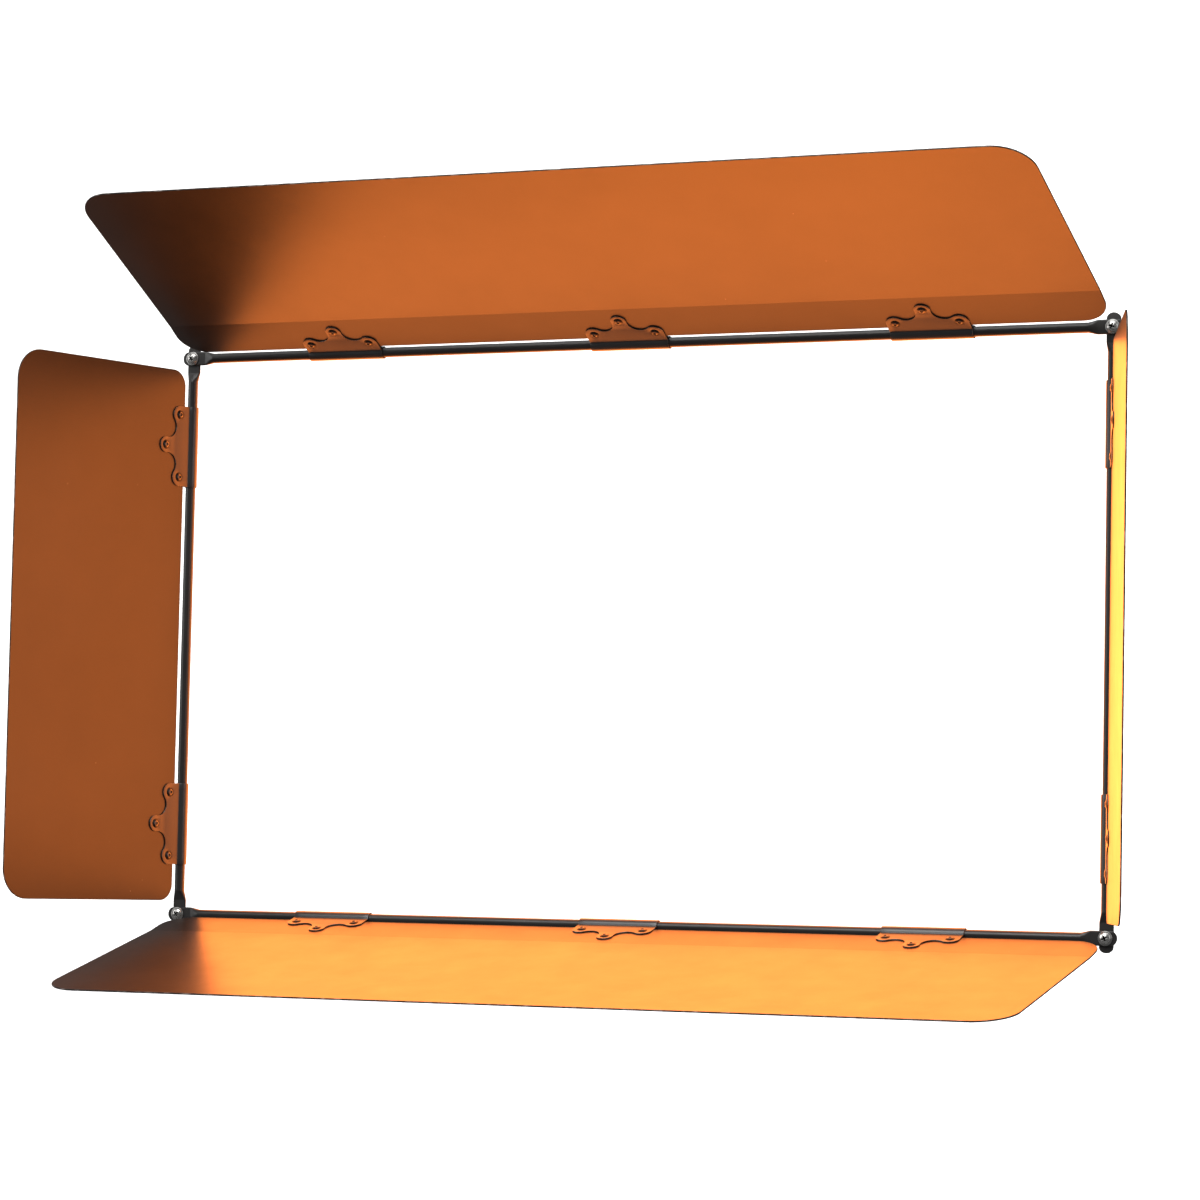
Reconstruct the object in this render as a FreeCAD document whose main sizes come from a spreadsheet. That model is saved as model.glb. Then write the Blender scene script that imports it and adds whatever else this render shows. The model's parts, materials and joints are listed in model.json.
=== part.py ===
import FreeCAD, Part
import math
import os

import Sketcher
from FreeCAD import Placement, Rotation, Vector

# Four-leaf barn door attachment for a large rectangular soft light, in millimetres.
# +X right, +Z up, light leaves towards -Y. The origin is the centre of the four fixing screws,
# on the plane of the light's front, where the backs of the side tubes' pressed ends rest.

SIZES = [
    # the tube frame
    ("screw_pitch_x", 640.0, "between the fixing screws, across"),
    ("screw_pitch_z", 373.0, "between the fixing screws, up"),
    ("tube_od", 6.5, "outside diameter of all four tubes"),
    ("tube_wall", 0.8, "tube wall"),
    ("seam_gap", 0.1, "left between the two walls where an end is pressed flat"),
    ("cross_overhang", 7.0, "end of a cross tube past its screw"),
    ("side_overhang", 9.0, "end of a side tube past its screw"),
    ("flat_run", 9.5, "flat part from the screw towards the tube"),
    ("flare_run", 6.0, "from flat to full round"),
    ("end_corner", 4.4, "corner radius of the pressed ends"),
    ("screw_room", 0.5, "hole through the pressed ends, wider than the thread by this"),
    # fixing screws and washers
    ("screw_dia", 4.0, "M4 thread"),
    ("neck_dia", 3.5, "plain neck of the screw, through the frame and washer"),
    ("screw_length", 16.0, "under the head"),
    ("screw_head_dia", 7.2, "pan head"),
    ("screw_head_height", 2.0, "pan head"),
    ("recess_span", 4.4, "cross recess, tip to tip"),
    ("recess_wing", 1.05, "cross recess, width of a wing"),
    ("recess_depth", 1.4, "cross recess"),
    ("washer_od", 9.0, "flat washer"),
    ("washer_room", 0.3, "washer bore, wider than the thread by this"),
    ("washer_thick", 0.8, "flat washer"),
    # leaves
    ("leaf_sheet", 1.0, "sheet of all four leaves"),
    ("leaf_setback", 7.5, "hinge axis to the leaf's near edge"),
    ("long_leaf_reach", 190.0, "hinge axis to far edge, along the sheet, top and bottom"),
    ("long_leaf_overlap", 1.8, "near edge of a long leaf past the screws, each side"),
    ("long_leaf_taper", 5.6, "how much narrower a long leaf's far edge is, each side"),
    ("crease_at", 37.0, "hinge axis to the crease"),
    ("crease_bend", 4.2, "degrees the far part leans in at the crease"),
    ("long_near_corner", 18.0, "corner radius, near the hinge"),
    ("long_far_corner", 25.0, "corner radius, far edge"),
    ("side_leaf_reach", 158.5, "hinge axis to far edge, left and right"),
    ("side_leaf_gap", 9.0, "end of a side leaf short of the screws, each end"),
    ("side_near_corner", 11.0, "corner radius, near the hinge"),
    ("side_far_corner", 20.0, "corner radius, far edge"),
    # hinge clips
    ("clip_sheet", 0.8, "sheet of the clips"),
    ("clip_fit", 0.08, "running gap between clip barrel and tube, radial"),
    ("clip_length", 54.0, "along the tube"),
    ("lobe_reach", 12.5, "hinge axis to the two outer rivets"),
    ("lobe_radius", 6.0, "round an outer rivet"),
    ("nose_reach", 25.0, "hinge axis to the middle rivet"),
    ("nose_radius", 5.3, "round the middle rivet"),
    ("waist_radius", 7.5, "hollow between the lobes"),
    ("long_clip_inset", 116.0, "screw to the middle of the outer clip, top and bottom"),
    ("side_clip_inset", 60.0, "screw to the middle of the clip, left and right"),
    # blind rivets
    ("rivet_dia", 3.2, "rivet body"),
    ("rivet_fit", 0.05, "radial gap between rivet body and its holes"),
    ("rivet_head_dia", 6.0, "domed head"),
    ("rivet_head_height", 1.1, "domed head"),
    ("mandrel_dia", 1.8, "hole left in the head by the pulled mandrel"),
    ("mandrel_depth", 1.5, "depth of that hole"),
    ("rivet_tail_dia", 4.6, "pulled tail on the far side"),
    ("rivet_tail_height", 2.2, "pulled tail on the far side"),
    # how far each leaf stands open, from shut across the light
    ("top_open", 119.5, "degrees"),
    ("bottom_open", 107.5, "degrees"),
    ("left_open", 106.0, "degrees"),
    ("right_open", 109.0, "degrees"),
    # where each screw stopped when it was driven home
    ("turn_top_left", 35.0, "degrees"),
    ("turn_top_right", 15.0, "degrees"),
    ("turn_bottom_left", 20.0, "degrees"),
    ("turn_bottom_right", 45.0, "degrees"),
]

doc = FreeCAD.newDocument("barn_door")
sheet = doc.addObject("Spreadsheet::Sheet", "sizes")
for row, (alias, value, note) in enumerate(SIZES, start=1):
    sheet.set(f"A{row}", alias)
    sheet.set(f"B{row}", str(value))
    sheet.setAlias(f"B{row}", alias)
    sheet.set(f"C{row}", note)
doc.recompute()


def size(alias):
    """A driving size, read from the sheet."""
    return float(getattr(sheet, alias))


# Sizes that follow from the driving ones: the number, and the expression that binds a feature to it.
FLAT_THICK = 2 * size("tube_wall") + size("seam_gap")
FLAT_THICK_CELL = "(2 * sizes.tube_wall + sizes.seam_gap)"
# Pressing keeps the length of wall round the tube, which sets the width of the flat.
FLAT_WIDTH = FLAT_THICK + math.pi / 2 * (size("tube_od") - FLAT_THICK)
FLAT_WIDTH_CELL = f"({FLAT_THICK_CELL} + pi / 2 * (sizes.tube_od - {FLAT_THICK_CELL}))"

# the two rounded corners of a pressed end never meet: each takes less than half its width
CORNER_SHARE = 0.48
END_CORNER = min(size("end_corner"), CORNER_SHARE * FLAT_WIDTH)
END_CORNER_CELL = f"min(sizes.end_corner; {CORNER_SHARE} * {FLAT_WIDTH_CELL})"
BORE_RADIUS = size("tube_od") / 2 - size("tube_wall")
BORE_RADIUS_CELL = "(sizes.tube_od / 2 - sizes.tube_wall)"
SEAM_WIDTH = FLAT_WIDTH - 2 * size("tube_wall")
SEAM_WIDTH_CELL = f"({FLAT_WIDTH_CELL} - 2 * sizes.tube_wall)"
BARREL_BORE = size("tube_od") / 2 + size("clip_fit")
BARREL_BORE_CELL = "(sizes.tube_od / 2 + sizes.clip_fit)"
BARREL_OUTSIDE = BARREL_BORE + size("clip_sheet")
BARREL_OUTSIDE_CELL = f"({BARREL_BORE_CELL} + sizes.clip_sheet)"
CLIP_TIP = size("nose_reach") + size("nose_radius")
LOBE_ACROSS = size("clip_length") / 2 - size("lobe_radius")
LOBE_ACROSS_CELL = "(sizes.clip_length / 2 - sizes.lobe_radius)"
SCREW_HOLE = (size("screw_dia") + size("screw_room")) / 2
SCREW_HOLE_CELL = "((sizes.screw_dia + sizes.screw_room) / 2)"
WASHER_BORE = (size("screw_dia") + size("washer_room")) / 2
WASHER_BORE_CELL = "((sizes.screw_dia + sizes.washer_room) / 2)"
# What a screw clamps: its washer and the two pressed ends. Its neck runs through them.
STACK = size("washer_thick") + 2 * FLAT_THICK
STACK_CELL = f"(sizes.washer_thick + 2 * {FLAT_THICK_CELL})"
LONG_LEAF_HALF = size("screw_pitch_x") / 2 + size("long_leaf_overlap")
LONG_LEAF_HALF_CELL = "(sizes.screw_pitch_x / 2 + sizes.long_leaf_overlap)"
SIDE_LEAF_HALF = size("screw_pitch_z") / 2 - size("side_leaf_gap")
SIDE_LEAF_HALF_CELL = "(sizes.screw_pitch_z / 2 - sizes.side_leaf_gap)"
# The outer clips of a leaf lie this far from its middle.
LONG_CLIP_OFF = size("screw_pitch_x") / 2 - size("long_clip_inset")
LONG_CLIP_OFF_CELL = "(sizes.screw_pitch_x / 2 - sizes.long_clip_inset)"
SIDE_CLIP_OFF = size("screw_pitch_z") / 2 - size("side_clip_inset")
SIDE_CLIP_OFF_CELL = "(sizes.screw_pitch_z / 2 - sizes.side_clip_inset)"
RIVET_HOLE = size("rivet_dia") / 2 + size("rivet_fit")
RIVET_HOLE_CELL = "(sizes.rivet_dia / 2 + sizes.rivet_fit)"
# The tubes' axes, which the leaves hinge on, all lie in the plane where the pressed ends meet:
# a cross tube's ends are pressed to its front, and a side tube's to its back.
HINGE_Y = -FLAT_THICK
WASHER_Y = -2 * FLAT_THICK
# Across and along the leaf from the middle of a clip: number, expression, and the cell of its reach.
RIVET_SPOTS = (
    (-LOBE_ACROSS, LOBE_ACROSS_CELL, "lobe_reach"),
    (0, None, "nose_reach"),
    (LOBE_ACROSS, LOBE_ACROSS_CELL, "lobe_reach"),
)
# The rim of a pan head stands straight up for this share of the head's height.
PAN_RIM_SHARE = 0.35
# How far a cutting outline runs past what it cuts.
SPARE = 5.0
# An edge this near a corner's place is that corner's edge.
CORNER_NEAR = 0.6

# ---------------------------------------------------------------- sketch helpers


def origin_plane(body, role):
    return next(f for f in body.Origin.OriginFeatures if f.Role == role)


def new_body(name):
    body = doc.addObject("PartDesign::Body", name)
    body.Label = name
    return body


def new_sketch(body, role, name, offset_cell=None):
    """A sketch on one of the body's own origin planes, moved along its normal by a sheet expression."""
    sketch = body.newObject("Sketcher::SketchObject", name)
    sketch.AttachmentSupport = [(origin_plane(body, role), "")]
    sketch.MapMode = "FlatFace"
    if offset_cell:
        sketch.setExpression("AttachmentOffset.Base.z", offset_cell)
    return sketch


def bind(sketch, constraint, cell):
    """Adds a dimension to a sketch and ties it to the sheet."""
    index = sketch.addConstraint(constraint)
    sketch.setExpression(f"Constraints[{index}]", cell)
    return index


class Outline:
    """A closed run of lines and arcs in a sketch, joined end to end as it is drawn."""

    def __init__(self, sketch, x, y):
        self.sketch = sketch
        self.here = Vector(x, y, 0)
        self.ends = []

    def line(self, x, y):
        there = Vector(x, y, 0)
        piece = self.sketch.addGeometry(Part.LineSegment(self.here, there), False)
        self.ends.append((piece, 1, 2))
        self.here = there
        return piece

    def arc(self, centre, x, y, anticlockwise):
        there = Vector(x, y, 0)
        from_angle = math.atan2(self.here.y - centre.y, self.here.x - centre.x)
        to_angle = math.atan2(there.y - centre.y, there.x - centre.x)
        first, last = (from_angle, to_angle) if anticlockwise else (to_angle, from_angle)
        if last <= first:
            last += 2 * math.pi
        circle = Part.Circle(centre, Vector(0, 0, 1), (self.here - centre).Length)
        piece = self.sketch.addGeometry(Part.ArcOfCircle(circle, first, last), False)
        self.ends.append((piece, 1, 2) if anticlockwise else (piece, 2, 1))
        self.here = there
        return piece

    def close(self, smooth=()):
        """Joins each piece to the next, and makes the joints after the pieces in smooth tangent."""
        for k, (piece, _, end) in enumerate(self.ends):
            after, start, _ = self.ends[(k + 1) % len(self.ends)]
            kind = "Tangent" if piece in smooth else "Coincident"
            self.sketch.addConstraint(Sketcher.Constraint(kind, piece, end, after, start))


def circle(sketch, x, y, radius, radius_cell):
    piece = sketch.addGeometry(Part.Circle(Vector(x, y, 0), Vector(0, 0, 1), radius), False)
    bind(sketch, Sketcher.Constraint("Radius", piece, radius), radius_cell)
    return piece


def centre_at(sketch, piece, x, y, x_cell, y_cell):
    """Places a circle's centre from the sketch's origin. A zero is held on the axis instead."""
    if x_cell:
        low, high = ((-1, 1), (piece, 3)) if x > 0 else ((piece, 3), (-1, 1))
        bind(sketch, Sketcher.Constraint("DistanceX", *low, *high, abs(x)), x_cell)
    else:
        sketch.addConstraint(Sketcher.Constraint("PointOnObject", piece, 3, -2))
    if y_cell:
        low, high = ((-1, 1), (piece, 3)) if y > 0 else ((piece, 3), (-1, 1))
        bind(sketch, Sketcher.Constraint("DistanceY", *low, *high, abs(y)), y_cell)
    else:
        sketch.addConstraint(Sketcher.Constraint("PointOnObject", piece, 3, -1))


def pad(body, sketch, name, length_cell, symmetric=False, reverse=False):
    feature = body.newObject("PartDesign::Pad", name)
    feature.Profile = sketch
    feature.SideType = "Symmetric" if symmetric else "One side"
    feature.Reversed = reverse
    feature.setExpression("Length", length_cell)
    doc.recompute()
    return feature


def check_cut(body, name, before):
    """Stops the build if the body's volume has not gone down from before."""
    if not body.Shape.Volume < before:
        raise RuntimeError(f"{body.Label}: {name} cut nothing")


def cut_through(body, sketch, name):
    """A pocket both ways through everything."""
    before = body.Shape.Volume
    feature = body.newObject("PartDesign::Pocket", name)
    feature.Profile = sketch
    feature.SideType = "Symmetric"
    feature.Type = "ThroughAll"
    doc.recompute()
    check_cut(body, name, before)
    return feature


def cut_depth(body, sketch, name, depth_cell, symmetric=False, reverse=False):
    """A pocket of a set depth."""
    before = body.Shape.Volume
    feature = body.newObject("PartDesign::Pocket", name)
    feature.Profile = sketch
    feature.SideType = "Symmetric" if symmetric else "One side"
    feature.Reversed = reverse
    feature.setExpression("Length", depth_cell)
    doc.recompute()
    check_cut(body, name, before)
    return feature


# ---------------------------------------------------------------- the tube frame


def round_section(body, role, name, offset_cell, radius, radius_cell):
    """A circle in four arcs, so that it lofts evenly to a pressed section."""
    sketch = new_sketch(body, role, name, offset_cell)
    corner = radius * math.sqrt(0.5)
    centre = Vector(0, 0, 0)
    run = Outline(sketch, corner, corner)
    arcs = [
        run.arc(centre, -corner, corner, True),
        run.arc(centre, -corner, -corner, True),
        run.arc(centre, corner, -corner, True),
        run.arc(centre, corner, corner, True),
    ]
    run.close()
    for piece in arcs:
        sketch.addConstraint(Sketcher.Constraint("Coincident", piece, 3, -1, 1))
    bind(sketch, Sketcher.Constraint("Radius", arcs[0], radius), radius_cell)
    return sketch


def pressed_section(body, name, offset_cell, width, thick, width_cell, thick_cell, back):
    """The section of a tube pressed flat, to the back (1) or front (-1) of its axis."""
    sketch = new_sketch(body, "YZ_Plane", name, offset_cell)
    edge = (width - thick) / 2
    aside = back * FLAT_THICK / 2
    run = Outline(sketch, aside + thick / 2, edge)
    upper = run.arc(Vector(aside, edge, 0), aside - thick / 2, edge, True)
    run.line(aside - thick / 2, -edge)
    lower = run.arc(Vector(aside, -edge, 0), aside + thick / 2, -edge, True)
    run.line(aside + thick / 2, edge)
    run.close(smooth=[piece for piece, _, _ in run.ends])
    bind(sketch, Sketcher.Constraint("Radius", upper, thick / 2), f"{thick_cell} / 2")
    span = Sketcher.Constraint("DistanceY", lower, 3, upper, 3, 2 * edge)
    bind(sketch, span, f"{width_cell} - {thick_cell}")
    sketch.addConstraint(Sketcher.Constraint("Symmetric", lower, 3, upper, 3, -1))
    low, high = ((-1, 1), (upper, 3)) if back > 0 else ((upper, 3), (-1, 1))
    off_axis = Sketcher.Constraint("DistanceX", *low, *high, FLAT_THICK / 2)
    bind(sketch, off_axis, f"{FLAT_THICK_CELL} / 2")
    return sketch


def loft(body, kind, name, profile, section):
    feature = body.newObject(kind, name)
    feature.Profile = profile
    feature.Sections = [section]
    feature.Ruled = True
    doc.recompute()
    return feature


def end_trim(body, name, side, hole_at, overhang):
    """Cuts a pressed end to length and rounds its two corners."""
    sketch = new_sketch(body, "XZ_Plane", f"{name}_outline")
    half = FLAT_WIDTH / 2
    corner = END_CORNER
    tip = side * (hole_at + size(overhang))
    inner = tip - side * corner
    far = tip + side * SPARE
    run = Outline(sketch, inner, half + SPARE)
    run.line(inner, half)
    upper = run.arc(Vector(inner, half - corner, 0), tip, half - corner, side < 0)
    run.line(tip, corner - half)
    lower = run.arc(Vector(inner, corner - half, 0), inner, -half, side < 0)
    run.line(inner, -half - SPARE)
    run.line(far, -half - SPARE)
    run.line(far, half + SPARE)
    run.line(inner, half + SPARE)
    run.close()
    bind(sketch, Sketcher.Constraint("Radius", upper, corner), END_CORNER_CELL)
    bind(sketch, Sketcher.Constraint("Radius", lower, corner), END_CORNER_CELL)
    cut_through(body, sketch, name)


def frame_tube(name, pitch, overhang, back, placement):
    """A tube along its own X, both ends pressed flat to its back (1) or front (-1) and drilled."""
    body = new_body(name)
    half_pitch = size(pitch) / 2
    half_cell = f"sizes.{pitch} / 2"
    round_cell = f"({half_cell} - sizes.flat_run - sizes.flare_run)"
    flat_cell = f"({half_cell} - sizes.flat_run)"
    outside = size("tube_od") / 2
    middle = round_section(body, "YZ_Plane", "middle", None, outside, "sizes.tube_od / 2")
    pad(body, middle, "tube", f"2 * {round_cell}", symmetric=True)
    bore = round_section(body, "YZ_Plane", "bore_section", None, BORE_RADIUS, BORE_RADIUS_CELL)
    cut_depth(body, bore, "bore", f"2 * {round_cell}", symmetric=True)
    for side, word in ((1, "right"), (-1, "left")):
        sign = "" if side > 0 else "-"
        full = round_section(
            body, "YZ_Plane", f"{word}_full", f"{sign}{round_cell}", outside, "sizes.tube_od / 2"
        )
        flat = pressed_section(
            body, f"{word}_flat", f"{sign}{flat_cell}",
            FLAT_WIDTH, FLAT_THICK, FLAT_WIDTH_CELL, FLAT_THICK_CELL, back,
        )
        loft(body, "PartDesign::AdditiveLoft", f"{word}_flare", full, flat)
        run_cell = f"sizes.flat_run + sizes.{overhang}"
        pad(body, flat, f"{word}_end", run_cell, reverse=side < 0)
        hollow = round_section(
            body, "YZ_Plane", f"{word}_hollow", f"{sign}{round_cell}", BORE_RADIUS, BORE_RADIUS_CELL
        )
        seam = pressed_section(
            body, f"{word}_seam", f"{sign}{flat_cell}",
            SEAM_WIDTH, size("seam_gap"), SEAM_WIDTH_CELL, "sizes.seam_gap", back,
        )
        before = body.Shape.Volume
        loft(body, "PartDesign::SubtractiveLoft", f"{word}_inside", hollow, seam)
        check_cut(body, f"{word}_inside", before)
        cut_depth(body, seam, f"{word}_slit", run_cell, reverse=side > 0)
        end_trim(body, f"{word}_trim", side, half_pitch, overhang)
    holes = new_sketch(body, "XZ_Plane", "screw_holes")
    for side in (1, -1):
        hole = circle(holes, side * half_pitch, 0, SCREW_HOLE, SCREW_HOLE_CELL)
        centre_at(holes, hole, side * half_pitch, 0, half_cell, None)
    cut_through(body, holes, "drilled")
    body.Placement = placement
    return body


# ---------------------------------------------------------------- fixing screws and washers


def fixing_screw(name, placement):
    """A pan-head screw along its own Z, the underside of its head at zero, its neck below that."""
    body = new_body(name)
    sketch = new_sketch(body, "XZ_Plane", "profile")
    radius = size("screw_head_dia") / 2
    height = size("screw_head_height")
    thread = size("screw_dia") / 2
    neck = size("neck_dia") / 2
    length = size("screw_length")
    rim = height * PAN_RIM_SHARE
    # the crown is one arc from the rim to the axis
    drop = height - rim
    crown = (radius**2 + drop**2) / (2 * drop)
    run = Outline(sketch, 0, -length)
    tip = run.line(thread, -length)
    run.line(thread, -STACK)
    run.line(neck, -STACK)
    side = run.line(neck, 0)
    under = run.line(radius, 0)
    run.line(radius, rim)
    run.arc(Vector(0, height - crown, 0), 0, height, True)
    axis = run.line(0, -length)
    run.close()
    bind(sketch, Sketcher.Constraint("DistanceX", tip, 1, tip, 2, thread), "sizes.screw_dia / 2")
    bind(sketch, Sketcher.Constraint("DistanceX", -1, 1, side, 2, neck), "sizes.neck_dia / 2")
    bind(sketch, Sketcher.Constraint("DistanceY", side, 1, side, 2, STACK), STACK_CELL)
    bind(
        sketch, Sketcher.Constraint("DistanceX", -1, 1, under, 2, radius), "sizes.screw_head_dia / 2"
    )
    bind(
        sketch, Sketcher.Constraint("DistanceY", axis, 2, axis, 1, length + height),
        "sizes.screw_length + sizes.screw_head_height",
    )
    turned = body.newObject("PartDesign::Revolution", "turned")
    turned.Profile = sketch
    turned.ReferenceAxis = (sketch, ["V_Axis"])
    doc.recompute()
    cross = new_sketch(body, "XY_Plane", "recess", "sizes.screw_head_height")
    wing = size("recess_wing") / 2
    span = size("recess_span") / 2
    corners = []
    for quarter in range(4):
        turn = Rotation(Vector(0, 0, 1), 90 * quarter)
        corners += [turn.multVec(Vector(x, y, 0)) for x, y in ((wing, wing), (wing, span), (-wing, span))]
    run = Outline(cross, corners[0].x, corners[0].y)
    for corner in corners[1:] + corners[:1]:
        run.line(corner.x, corner.y)
    run.close()
    cut_depth(body, cross, "cross_recess", "sizes.recess_depth")
    body.Placement = placement
    return body


def flat_washer(name, placement):
    """A washer along its own Z, its lower face at zero."""
    body = new_body(name)
    sketch = new_sketch(body, "XY_Plane", "ring")
    outer = circle(sketch, 0, 0, size("washer_od") / 2, "sizes.washer_od / 2")
    inner = circle(sketch, 0, 0, WASHER_BORE, WASHER_BORE_CELL)
    for ring in (outer, inner):
        sketch.addConstraint(Sketcher.Constraint("Coincident", ring, 3, -1, 1))
    pad(body, sketch, "washer", "sizes.washer_thick")
    body.Placement = placement
    return body


# ---------------------------------------------------------------- leaves


def corner_edges(body, at):
    """The names of the upright edges at the given (x, y) points."""
    names = []
    for k, edge in enumerate(body.Shape.Edges, start=1):
        low, high = edge.Vertexes[0].Point, edge.Vertexes[-1].Point
        upright = math.hypot(high.x - low.x, high.y - low.y) < CORNER_NEAR
        middle = (low + high) / 2
        near = any(math.hypot(middle.x - x, middle.y - y) < CORNER_NEAR for x, y in at)
        if upright and near:
            names.append(f"Edge{k}")
    if len(names) != len(at):
        raise RuntimeError(f"{body.Label}: {len(names)} corner edges found, not {len(at)}")
    return names


def round_corners(body, name, at, radius):
    before = body.Shape.Volume
    rounded = body.Tip
    edges = corner_edges(body, at)
    feature = body.newObject("PartDesign::Fillet", name)
    feature.Base = (rounded, edges)
    feature.setExpression("Radius", f"sizes.{radius}")
    doc.recompute()
    check_cut(body, name, before)


def rivet_holes(body, clip_off, clip_off_cell, count):
    """Three holes at each clip, the first clip drawn and the rest patterned along the hinge."""
    sketch = new_sketch(body, "XY_Plane", "rivet_holes")
    spots = (
        (-clip_off - LOBE_ACROSS, f"{clip_off_cell} + {LOBE_ACROSS_CELL}", "lobe_reach"),
        (-clip_off, clip_off_cell, "nose_reach"),
        (-clip_off + LOBE_ACROSS, f"{clip_off_cell} - {LOBE_ACROSS_CELL}", "lobe_reach"),
    )
    for x, x_cell, reach in spots:
        hole = circle(sketch, x, size(reach), RIVET_HOLE, RIVET_HOLE_CELL)
        centre_at(sketch, hole, x, size(reach), x_cell, f"sizes.{reach}")
    drilled = cut_through(body, sketch, "drilled")
    one_clip = body.Shape.Volume
    pattern = body.newObject("PartDesign::LinearPattern", "at_each_clip")
    pattern.Originals = [drilled]
    pattern.Direction = (sketch, ["H_Axis"])
    pattern.Occurrences = count
    pattern.setExpression("Length", f"2 * {clip_off_cell}")
    body.Tip = pattern
    doc.recompute()
    check_cut(body, "at_each_clip", one_clip)


def long_leaf(name, placement):
    """A top or bottom leaf: hinge along its own X, reaching along Y, its lit face towards Z."""
    body = new_body(name)
    near = size("leaf_setback")
    crease = size("crease_at")
    half = size("leaf_sheet") / 2
    bend = math.radians(size("crease_bend"))
    mitre = half * math.tan(bend / 2)
    run_out = size("long_leaf_reach") - crease
    far = Vector(crease + run_out * math.cos(bend), run_out * math.sin(bend), 0)
    across = Vector(-math.sin(bend), math.cos(bend), 0) * half
    section = new_sketch(body, "YZ_Plane", "section")
    run = Outline(section, near, -half)
    lower_near = run.line(crease + mitre, -half)
    lower_far = run.line(far.x - across.x, far.y - across.y)
    far_edge = run.line(far.x + across.x, far.y + across.y)
    upper_far = run.line(crease - mitre, half)
    upper_near = run.line(near, half)
    near_edge = run.line(near, -half)
    run.close()
    for level in (lower_near, upper_near):
        section.addConstraint(Sketcher.Constraint("Horizontal", level))
    section.addConstraint(Sketcher.Constraint("Parallel", lower_far, upper_far))
    section.addConstraint(Sketcher.Constraint("Perpendicular", lower_far, far_edge))
    section.addConstraint(Sketcher.Constraint("Symmetric", near_edge, 1, near_edge, 2, -1))
    bind(section, Sketcher.Constraint("Distance", near_edge, 2 * half), "sizes.leaf_sheet")
    bind(section, Sketcher.Constraint("Distance", far_edge, 2 * half), "sizes.leaf_sheet")
    bind(section, Sketcher.Constraint("DistanceX", -1, 1, near_edge, 2, near), "sizes.leaf_setback")
    mitre_cell = "sizes.leaf_sheet / 2 * tan(sizes.crease_bend / 2 * 1deg)"
    bind(
        section, Sketcher.Constraint("DistanceX", -1, 1, lower_near, 2, crease + mitre),
        f"sizes.crease_at + {mitre_cell}",
    )
    bind(
        section, Sketcher.Constraint("Distance", lower_far, run_out - mitre),
        f"sizes.long_leaf_reach - sizes.crease_at - {mitre_cell}",
    )
    angle = Sketcher.Constraint("Angle", lower_near, 1, lower_far, 1, bend)
    bind(section, angle, "sizes.crease_bend * 1deg")
    pad(body, section, "bent_sheet", f"2 * {LONG_LEAF_HALF_CELL}", symmetric=True)
    # the far edge is narrower, so a wedge comes off each side
    near_half = LONG_LEAF_HALF
    far_half = near_half - size("long_leaf_taper")
    taper = new_sketch(body, "XY_Plane", "taper")
    lean = size("long_leaf_taper") / (far.x - near)
    for side in (1, -1):
        run = Outline(taper, side * near_half, near)
        run.line(side * (far_half - lean * SPARE), far.x + SPARE)
        run.line(side * (near_half + SPARE), far.x + SPARE)
        run.line(side * (near_half + SPARE), near)
        run.line(side * near_half, near)
        run.close()
    cut_through(body, taper, "tapered")
    near_corners = [(side * near_half, near) for side in (1, -1)]
    far_corners = [(side * far_half, far.x) for side in (1, -1)]
    round_corners(body, "near_corners", near_corners, "long_near_corner")
    round_corners(body, "far_corners", far_corners, "long_far_corner")
    rivet_holes(body, LONG_CLIP_OFF, LONG_CLIP_OFF_CELL, 3)
    body.Placement = placement
    return body


def side_leaf(name, placement):
    """A left or right leaf: hinge along its own X, reaching along Y, its lit face towards Z."""
    body = new_body(name)
    near = size("leaf_setback")
    far = size("side_leaf_reach")
    half = SIDE_LEAF_HALF
    plan = new_sketch(body, "XY_Plane", "plan")
    run = Outline(plan, -half, near)
    near_edge = run.line(half, near)
    right_edge = run.line(half, far)
    far_edge = run.line(-half, far)
    left_edge = run.line(-half, near)
    run.close()
    plan.addConstraint(Sketcher.Constraint("Horizontal", far_edge))
    for upright in (left_edge, right_edge):
        plan.addConstraint(Sketcher.Constraint("Vertical", upright))
    plan.addConstraint(Sketcher.Constraint("Symmetric", near_edge, 1, near_edge, 2, -2))
    bind(plan, Sketcher.Constraint("Distance", near_edge, 2 * half), f"2 * {SIDE_LEAF_HALF_CELL}")
    bind(plan, Sketcher.Constraint("DistanceY", -1, 1, near_edge, 2, near), "sizes.leaf_setback")
    bind(plan, Sketcher.Constraint("DistanceY", -1, 1, far_edge, 1, far), "sizes.side_leaf_reach")
    pad(body, plan, "flat_sheet", "sizes.leaf_sheet", symmetric=True)
    round_corners(body, "near_corners", [(half, near), (-half, near)], "side_near_corner")
    round_corners(body, "far_corners", [(half, far), (-half, far)], "side_far_corner")
    rivet_holes(body, SIDE_CLIP_OFF, SIDE_CLIP_OFF_CELL, 2)
    body.Placement = placement
    return body


# ---------------------------------------------------------------- hinge clips and their rivets


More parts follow.
